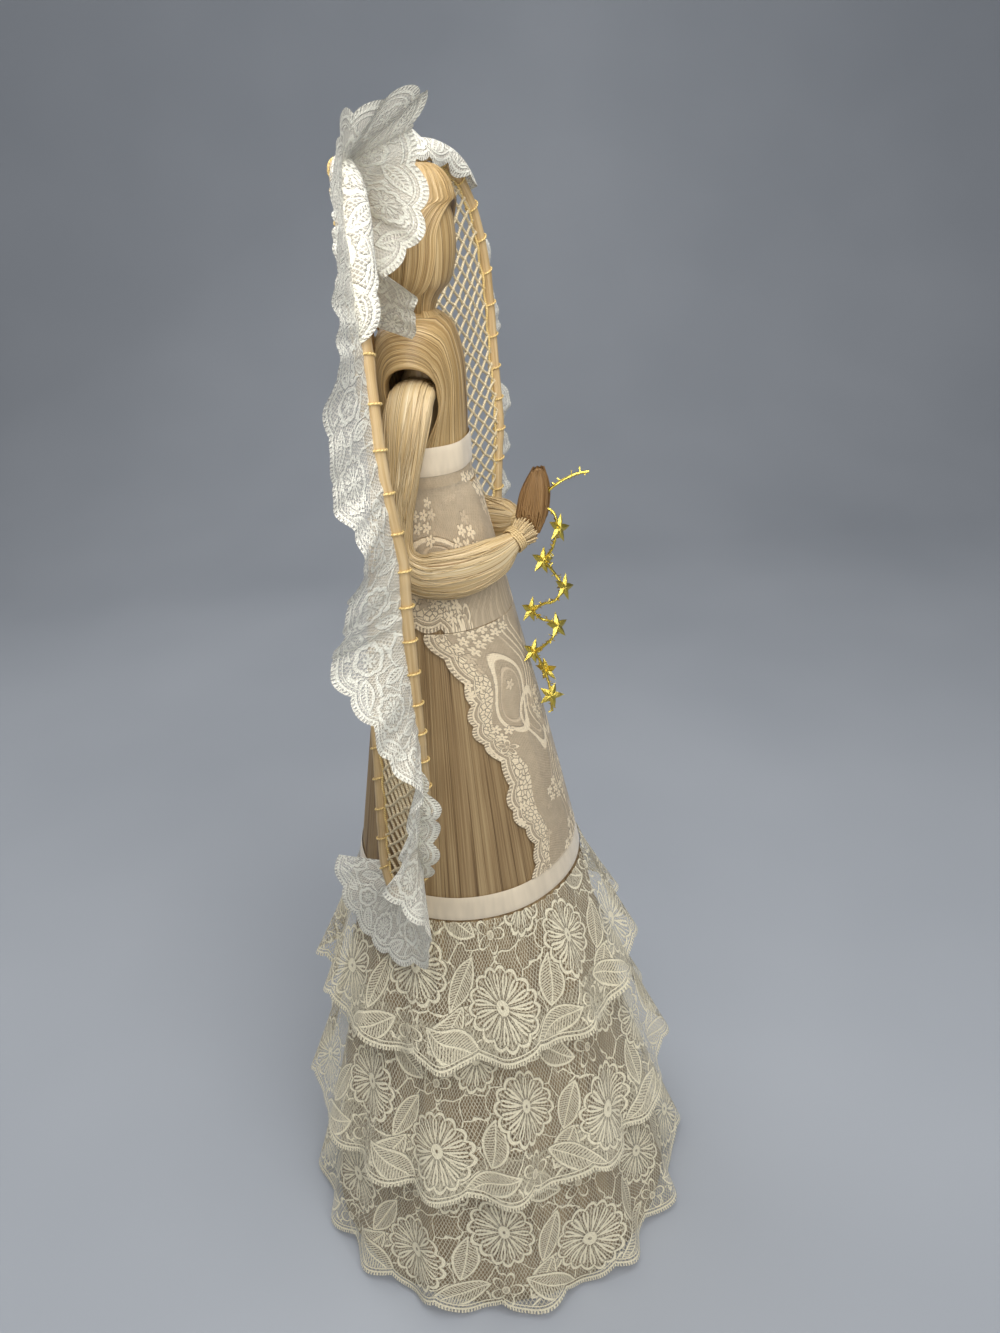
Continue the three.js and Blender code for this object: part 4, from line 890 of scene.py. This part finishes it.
def hand(side):
    rows, columns = 34, 60
    shares = catmull(HAND_RINGS, rows)
    path = np.array(HAND_BASE) + (np.array(HAND_TIP) - HAND_BASE) * (shares[:, :1] / 10)
    size = shares[:, 1:] * HAND_HALF
    points = oval(size[:, 0], size[:, 1], all_round(columns)[:, None], 0) + path[None]
    combed(f"palm_{side}", "brown_fibre", to_side(points, side), SEEDS["palm"] + SIDES[side], f"{side}_hand",
           bundle=6, drift=1.0, depth=0.55, width=22)
    rng = np.random.default_rng(SEEDS["fray"])
    b = Builder()
    for _ in range(HAND_STRANDS):
        turn, close = rng.uniform(np.pi / 2, 1.5 * np.pi), rng.uniform(0.9, 1.1)
        first, over, last = rng.integers(2, rows - 14), rng.uniform(0.2, 3), rows - 4
        strand = path[first:last] + close * size[first:last, :1] * (math.cos(turn), 0, 0)
        strand = strand + close * size[first:last, 1:] * (0, math.sin(turn), 0)
        strand = np.vstack([strand, strand[-1] + over * unit(strand[-1] - strand[-4])])
        b.tube(strand * MIRROR[side], np.linspace(0.4, 0.22, len(strand)), 4)
    b.build(f"fray_{side}", "brown_fibre")


# Wound thread on a straight axis
def winding(name, node, kind, centre, axis):
    radius, turns = TIES[kind]
    axis = unit(np.array(axis, float))
    first = unit(np.cross(axis, (0.3, 1, 0.2)))
    second = np.cross(axis, first)
    fine_turns = 2 * turns
    t = np.linspace(0, fine_turns, fine_turns * 28 + 1)[:, None]
    path = (np.array(centre) + radius * (np.cos(2 * np.pi * t) * first + np.sin(2 * np.pi * t) * second)
            + (t - fine_turns / 2) * THREAD_PITCH * axis)
    Builder().tube(path, THREAD_RADIUS, 8).build(name, "thread", node)


for side in SIDES:
    cape_half(side)
    arm(side)
    hand(side)
    end, wrist = np.array(ARM_PATH[-2]), np.array(ARM_PATH[-1])
    winding(f"wrist_thread_{side}", f"{side}_wrist_tie", "wrist", wrist * MIRROR[side],
            (wrist - end) * MIRROR[side])
    winding(f"lashing_thread_{side}", f"{side}_wing_lashing", "lashing", LASHING * MIRROR[side], (0, 0, 1))
collar()
winding("neck_thread", "neck_tie", "neck", NECK_TIE, (0, 0, 1))


# Hair: combed from the crown, round a plain face, to the neck
def hair():
    rows, columns = 70, 240
    rings = [(z, share, 0) for z, share in HAIR_RINGS]
    rings += [(HEAD[2] + CROWN_RISE * rise, share, CROWN_FORWARD * rise ** 2) for rise, share in CROWN_RINGS]
    shape = catmull([(z, r * HAIR_REACH, forward) for z, r, forward in rings], rows)[::-1]
    z, radius, middle = shape[:, 0], np.maximum(shape[:, 1], 0.3), HEAD[1] - shape[:, 2]
    arch = np.sqrt(np.maximum(0, FACE_HALF_WIDTH ** 2 - np.maximum(0, z - FACE_BROW) ** 2))
    gap = np.arcsin(np.clip(arch / radius, 0, 0.9))
    share = np.linspace(0, 1, columns)
    angle = -np.pi / 2 + gap[None] + np.outer(share, 2 * np.pi - 2 * gap)
    sway = 0.1 * np.sin((HEAD[2] + CROWN_RISE - z) / 9)
    angle = angle + np.outer(np.sin(np.pi * share), sway)
    points = oval(radius, radius, angle, z, middle[None])
    axis = np.stack([0 * z, middle, z], 1)[None]
    tucked = [edge + (axis - edge) * 0.17 for edge in (points[:1], points[-1:])]
    points = np.concatenate([tucked[0], points[:1], points, points[-1:], tucked[1]])
    combed("combed_hair", "blonde_fibre", points, SEEDS["hair"], "hair",
           bundle=7, drift=2.0, depth=-0.7, width=90, wrap=False, fade=smooth(radius, 0.5, 8)[None])


def face():
    """Plain face: a ball of fibre that fills the opening in the hair, with nothing drawn on it."""
    rows, columns = 48, 150
    z, radius = catmull(FACE_RINGS, rows)[::-1].T
    points = oval(radius, radius, all_round(columns)[:, None], z, HEAD[1])
    combed("plain_face", "blonde_fibre", points, SEEDS["face"], "head_ball",
           bundle=6, drift=1.0, depth=-0.4, width=80, fade=smooth(radius, 0.5, 8)[None])


hair()
face()


# Wings
def wing_point(across, z, lift=0.0):
    """The right wing's place of a flat point; the left one is mirrored."""
    below = (1 - np.clip((z - WING_BOTTOM) / WING_TWIST_HEIGHT, 0, 1)) ** WING_EASE
    sweep = np.radians(WING_SWEEP + WING_SWEEP_BELOW * below)
    on_cone = skirt_radius(np.minimum(z, SKIRT_HEIGHT)) + WING_OFF_CONE
    distance = (on_cone + WING_BEHIND + np.hypot(on_cone - WING_BEHIND, WING_BLEND)) / 2 + lift
    reach = WING_REACH + WING_REACH_BELOW * below + across
    return np.stack([-distance * np.sin(sweep) - reach * np.cos(sweep),
                     distance * np.cos(sweep) - reach * np.sin(sweep), z + 0 * distance], -1)


around = WING_OUTER + [(-w, h) for w, h in WING_INNER[::-1]]
around = [(w * WING_HALF_WIDTH, WING_BOTTOM + h * WING_HEIGHT) for w, h in around]
OUTLINE = catmull(around, EDGE_STEPS, closed=True)
ALONG = unit(np.roll(OUTLINE, -1, 0) - np.roll(OUTLINE, 1, 0))
OUTWARD = np.stack([ALONG[:, 1], -ALONG[:, 0]], 1)


def wing_edge(t):
    """Places, outward and backward directions on the bent wing, for shares t of the way round."""
    index = np.mod(np.asarray(t) * EDGE_STEPS, EDGE_STEPS)
    low = np.floor(index).astype(int) % EDGE_STEPS
    part = (index - np.floor(index))[..., None]
    flat, flat_out = (a[low] * (1 - part) + a[(low + 1) % EDGE_STEPS] * part for a in (OUTLINE, OUTWARD))
    point = wing_point(flat[..., 0], flat[..., 1])
    out = unit(wing_point(flat[..., 0] + flat_out[..., 0], flat[..., 1] + flat_out[..., 1]) - point)
    back = wing_point(flat[..., 0], flat[..., 1], 1.0) - point
    back = unit(back - out * (back * out).sum(-1, keepdims=True))
    return point, out, back


def inside_outline(x, y, inset):
    rim = OUTLINE[::6] - OUTWARD[::6] * inset
    a, b = rim, np.roll(rim, -1, 0)
    crossing = (a[:, 1] > y[:, None]) != (b[:, 1] > y[:, None])
    at = a[:, 0] + (y[:, None] - a[:, 1]) * (b[:, 0] - a[:, 0]) / (b[:, 1] - a[:, 1] + 1e-12)
    return (crossing & (x[:, None] < at)).sum(1) % 2 == 1


def struts(b, starts, ends, radius):
    """Many straight threads at once, four-sided."""
    along = unit(ends - starts)
    side = unit(np.cross(along, (0.31, 0.83, 0.46)))
    other = np.cross(along, side)
    ring = np.stack([side, other, -side, -other], 1) * radius
    points = np.concatenate([starts[:, None] + ring, ends[:, None] + ring], 1)
    quads = np.array([[k, (k + 1) % 4, 4 + (k + 1) % 4, 4 + k] for k in range(4)])
    length = np.linalg.norm(ends - starts, axis=1)[:, None, None] / 100
    corner = np.array([[(k / 40, 0), ((k + 1) / 40, 0), ((k + 1) / 40, 1), (k / 40, 1)] for k in range(4)])
    b.copies(points, quads, corner[None] * np.concatenate([np.ones_like(length), length], 2)[:, None])


def knots(b, places, radius):
    """Small eight-faced knots, drawn as pairs of four-sided cones."""
    tips = np.array([(1, 0, 0), (0, 1, 0), (-1, 0, 0), (0, -1, 0)]) * radius
    top = np.array([(0, 0, radius * 1.2)])
    shape = np.concatenate([tips, top, -top])
    faces = [(k, (k + 1) % 4, 4) for k in range(4)] + [((k + 1) % 4, k, 5) for k in range(4)]
    uv = np.tile([(0, 0), (0.01, 0), (0, 0.01)], (8 * len(places), 1))
    b.copies(places[:, None] + shape, np.array(faces), uv)


def wing_net(side):
    columns, rows = int(WING_HALF_WIDTH / NET_HALF_WIDE) + 1, int(WING_HEIGHT / NET_HALF_HIGH) + 1
    i, j = np.meshgrid(np.arange(-columns, columns + 1), np.arange(rows), indexing="ij")
    keep = (i + j) % 2 == 0
    rng = np.random.default_rng(SEEDS["net"])
    jitter = rng.uniform(-NET_JITTER, NET_JITTER, (*i.shape, 2))
    flat = np.stack([i * NET_HALF_WIDE, WING_BOTTOM + j * NET_HALF_HIGH], 2) + jitter
    inside = keep & inside_outline(flat[..., 0].ravel(), flat[..., 1].ravel(), NET_INSET).reshape(i.shape)
    sag = NET_SAG * np.sin(flat[..., 0] / 9) * np.sin(flat[..., 1] / 17)
    knot_places = wing_point(flat[..., 0], flat[..., 1], sag) * MIRROR[side]
    starts, ends = [], []
    for step in (1, -1):
        from_i, from_j = np.nonzero(keep[:, :-1])
        ok = (from_i + step >= 0) & (from_i + step < i.shape[0])
        start, end = (from_i[ok], from_j[ok]), (from_i[ok] + step, from_j[ok] + 1)
        used = inside[start] | inside[end]
        start_in, end_in = inside[start][used], inside[end][used]
        start, end = knot_places[start][used], knot_places[end][used]
        end[~end_in] = (start + (end - start) * NET_STUB)[~end_in]
        start[~start_in] = (end + (start - end) * NET_STUB)[~start_in]
        starts.append(start)
        ends.append(end)
    b = Builder()
    struts(b, np.vstack(starts), np.vstack(ends), NET_THREAD_RADIUS)
    knots(b, knot_places[inside], NET_KNOT_RADIUS)
    b.build(f"net_{side}", "net_thread", f"{side}_wing_net", body=f"{side}_wing")


def wing_frame(side):
    columns = 420
    t = np.linspace(0, 1, columns, endpoint=False)
    joint = np.exp(-((np.mod(t * 9, 1) - 0.5) / 0.04) ** 2)
    swell = 1 + 0.05 * wander(columns, SEEDS["cane"], (7, 11, 19)) + 0.12 * joint
    b = Builder().tube(wing_edge(t)[0] * MIRROR[side], CANE_RADIUS * swell, 12, closed=True)
    b.build(f"bent_cane_{side}", "cane", f"{side}_wing_frame", body=f"{side}_wing")
    stitch = Builder()
    angle = all_round(18)[:, None]
    for k in range(STITCHES):
        place, out, back = wing_edge(np.array([k / STITCHES]))
        forward = unit(wing_edge(np.array([k / STITCHES + 0.002]))[0] - place)[0]
        ring = place + STITCH_RADIUS * (np.cos(angle) * out + np.sin(angle) * back)
        ring = ring + STITCH_SLANT * np.cos(angle) * forward
        stitch.tube(ring * MIRROR[side], THREAD_RADIUS, 6, closed=True)
    s = np.linspace(0, 1, 920, endpoint=False)
    place, out, back = wing_edge(s)
    turn = (2 * np.pi * STITCHES * s)[:, None]
    cord = place - out * (EDGE_CORD_INSET - EDGE_CORD_SWAY[0] * np.cos(turn))
    cord = cord + back * EDGE_CORD_SWAY[1] * np.sin(turn)
    stitch.tube(cord * MIRROR[side], EDGE_CORD_RADIUS, 6, closed=True)
    stitch.build(f"stitch_{side}", "gold_thread", body=f"{side}_wing")


def along_lace(stops, t):
    """Value at each t of (place, value) stops, eased from stop to stop."""
    places, values = np.array(stops, float).T
    k = np.clip(np.searchsorted(places, t, side="right"), 1, len(places) - 1)
    share = smooth((t - places[k - 1]) / (places[k] - places[k - 1]), 0, 1)
    return values[k - 1] + (values[k] - values[k - 1]) * share


def wing_lace(side):
    columns, rows = 560, 16
    u, v = np.linspace(0, 1, columns), np.linspace(0, 1, rows)
    t = LACE_SHARES[0] + (LACE_SHARES[1] - LACE_SHARES[0]) * u
    point, out, back = wing_edge(t)
    lean = np.radians(along_lace(LEANS[side], t))[:, None]
    away = out * np.cos(lean) + back * np.sin(lean)
    across = back * np.cos(lean) - out * np.sin(lean)
    seed = SEEDS["ruffle"] + SIDES[side]
    calm = 1 - 0.6 * smooth(t, 0.4, 0.46)
    fold = np.sin(2 * np.pi * LACE_FOLDS * u + 1.6 * wander(columns, seed, (2, 3, 5), False))
    ripple = LACE_RIPPLE * calm * fold * (0.65 + 0.35 * wander(columns, seed + 1, (3, 4, 7), False))
    pleat = LACE_PLEAT * wander(columns, seed + 2, (43, 51, 60), False)
    reach = LACE_ROOT + np.outer(along_lace(LACE_WIDTHS[side], t) + LACE_TUCK, v)
    curl = np.outer(ripple, v ** 1.2) + np.outer(pleat, 0.4 + 0.6 * v)
    points = point[:, None] + away[:, None] * reach[:, :, None] + across[:, None] * curl[:, :, None]
    b = Builder().grid(points * MIRROR[side], uv=sheet_uv(points))
    for first, last, begin, sweep, swell in LACE_HEADINGS[side]:
        over = (t > first) & (t < last)
        fade = np.sin(np.pi * np.clip((t[over] - first) / (last - first), 0, 1))[:, None] ** 0.4
        turn = (lean[over] + np.radians(begin - sweep * v[None]) * fade)[:, :, None]
        wrap = 3 + (swell + 0.4 * ripple[over][:, None]) * v[None] * fade
        round_cane = out[over][:, None] * np.cos(turn) + back[over][:, None] * np.sin(turn)
        heading = point[over][:, None] + round_cane * wrap[:, :, None]
        b.grid(heading * MIRROR[side], uv=sheet_uv(heading))
    piece = b.build(f"ruffle_{side}", "white_lace", f"{side}_wing_lace", body=f"{side}_wing")


for side in SIDES:
    wing_frame(side)
    wing_net(side)
    wing_lace(side)


# Star garland: wire, foil fringe and stars
def garland():
    route = catmull(WIRE_ROUTE, 220)
    curve = bpy.data.curves.new("garland", "CURVE")
    curve.dimensions = "3D"
    curve.bevel_depth, curve.bevel_resolution, curve.use_fill_caps = WIRE_RADIUS * MM, 2, True
    spline = curve.splines.new("POLY")
    spline.points.add(len(route) - 1)
    for point, place in zip(spline.points, route * MM):
        point.co = (*place, 1)
    curve.materials.append(LOOKS["gold_foil"])
    wire = bpy.data.objects.new("garland", curve)
    bpy.context.collection.objects.link(wire)
    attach(wire, "figure")
    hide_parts("garland_wire")
    b = Builder().tube(catmull(TIP_ROUTE, 40), WIRE_RADIUS, 8)
    tip = b.build("garland_end", "gold_foil", "garland_tip")
    stars = [star(k + 1) for k in range(STAR_COUNT)]
    fringe = foil_fringe(np.vstack([catmull(TIP_ROUTE, 26)[4:], route[8:]]))


def foil_fringe(route):
    """Short slips of foil that stand out all round the wire."""
    rng = np.random.default_rng(SEEDS["fringe"])
    b = Builder()
    for place, along in zip(route, np.gradient(route, axis=0)):
        ray = unit(np.cross(along, rng.normal(size=3)))
        across = unit(np.cross(ray, rng.normal(size=3)))
        length, half = rng.uniform(0.5, 1.5), rng.uniform(0.16, 0.3)
        root, end = place + 0.4 * ray, place + (0.4 + length) * ray + rng.uniform(-0.4, 0.4, 3)
        b.grid(np.array([[root + k * across, end + k * across] for k in (-half, half)]))
    return b.build("foil_fringe", "gold_foil", smooth_faces=False)


def star(number):
    """Embossed foil star in the place of the plain one."""
    solid = np.array([v.co for v in nodes[f"star_{number}"].data.vertices]) / MM
    centre = solid.mean(0)
    axes = np.linalg.svd(solid - centre)[2]
    normal = axes[2] if np.dot(axes[2], STARS_FACE) > 0 else -axes[2]
    if np.dot(normal, STARS_FACE) < 0.6:
        normal = unit(normal + STARS_FACE)
    first = solid[np.argmax(np.linalg.norm(solid - centre, axis=1))] - centre
    first = unit(first - normal * np.dot(first, normal))
    second = np.cross(normal, first)
    columns = []
    for k in range(5 * len(STAR_RADII)):
        turn = np.pi * k / 10
        ray = math.cos(turn) * first + math.sin(turn) * second
        radius, crease = STAR_RADII[k % 4], STAR_CREASES[k % 4]
        columns.append([centre + radius * share * ray
                        + normal * (lift + crease * share - 0.02 * (radius * share) ** 2)
                        for share, lift in STAR_RINGS])
    b = Builder().grid(np.array(columns), wrap_u=True)
    return b.build(f"foil_star_{number}", "gold_foil", f"star_{number}", smooth_faces=False)


garland()


# Pale sweep: a floor that curves up into a wall behind the figure
def sweep():
    reach, bend, height, half = 0.75, 0.5, 1.6, 6
    curve = [(reach + bend * math.sin(a), bend - bend * math.cos(a)) for a in np.linspace(0, np.pi / 2, 24)]
    profile = [(-half, 0), *curve, (reach + bend, height)]
    c, s = math.cos(VIEW_SIDE), math.sin(VIEW_SIDE)
    points = [(d * c - w * s, d * s + w * c, z) for w in (-half, half) for d, z in profile]
    mesh = bpy.data.meshes.new("sweep")
    count = len(profile)
    mesh.from_pydata(points, [], [(k, k + 1, count + k + 1, count + k) for k in range(count - 1)])
    mesh.polygons.foreach_set("use_smooth", [True] * len(mesh.polygons))
    paint = Shader("sweep_paper", 0.7, coords="Object")
    mottle = paint.noise(0.004, 0.004, 0.004)
    paint.colour(mottle, (0.3, (0.37, 0.395, 0.43)), (0.7, (0.41, 0.435, 0.47)))
    mesh.materials.append(LOOKS["sweep_paper"])
    backdrop = bpy.data.objects.new("sweep", mesh)
    bpy.context.collection.objects.link(backdrop)


sweep()
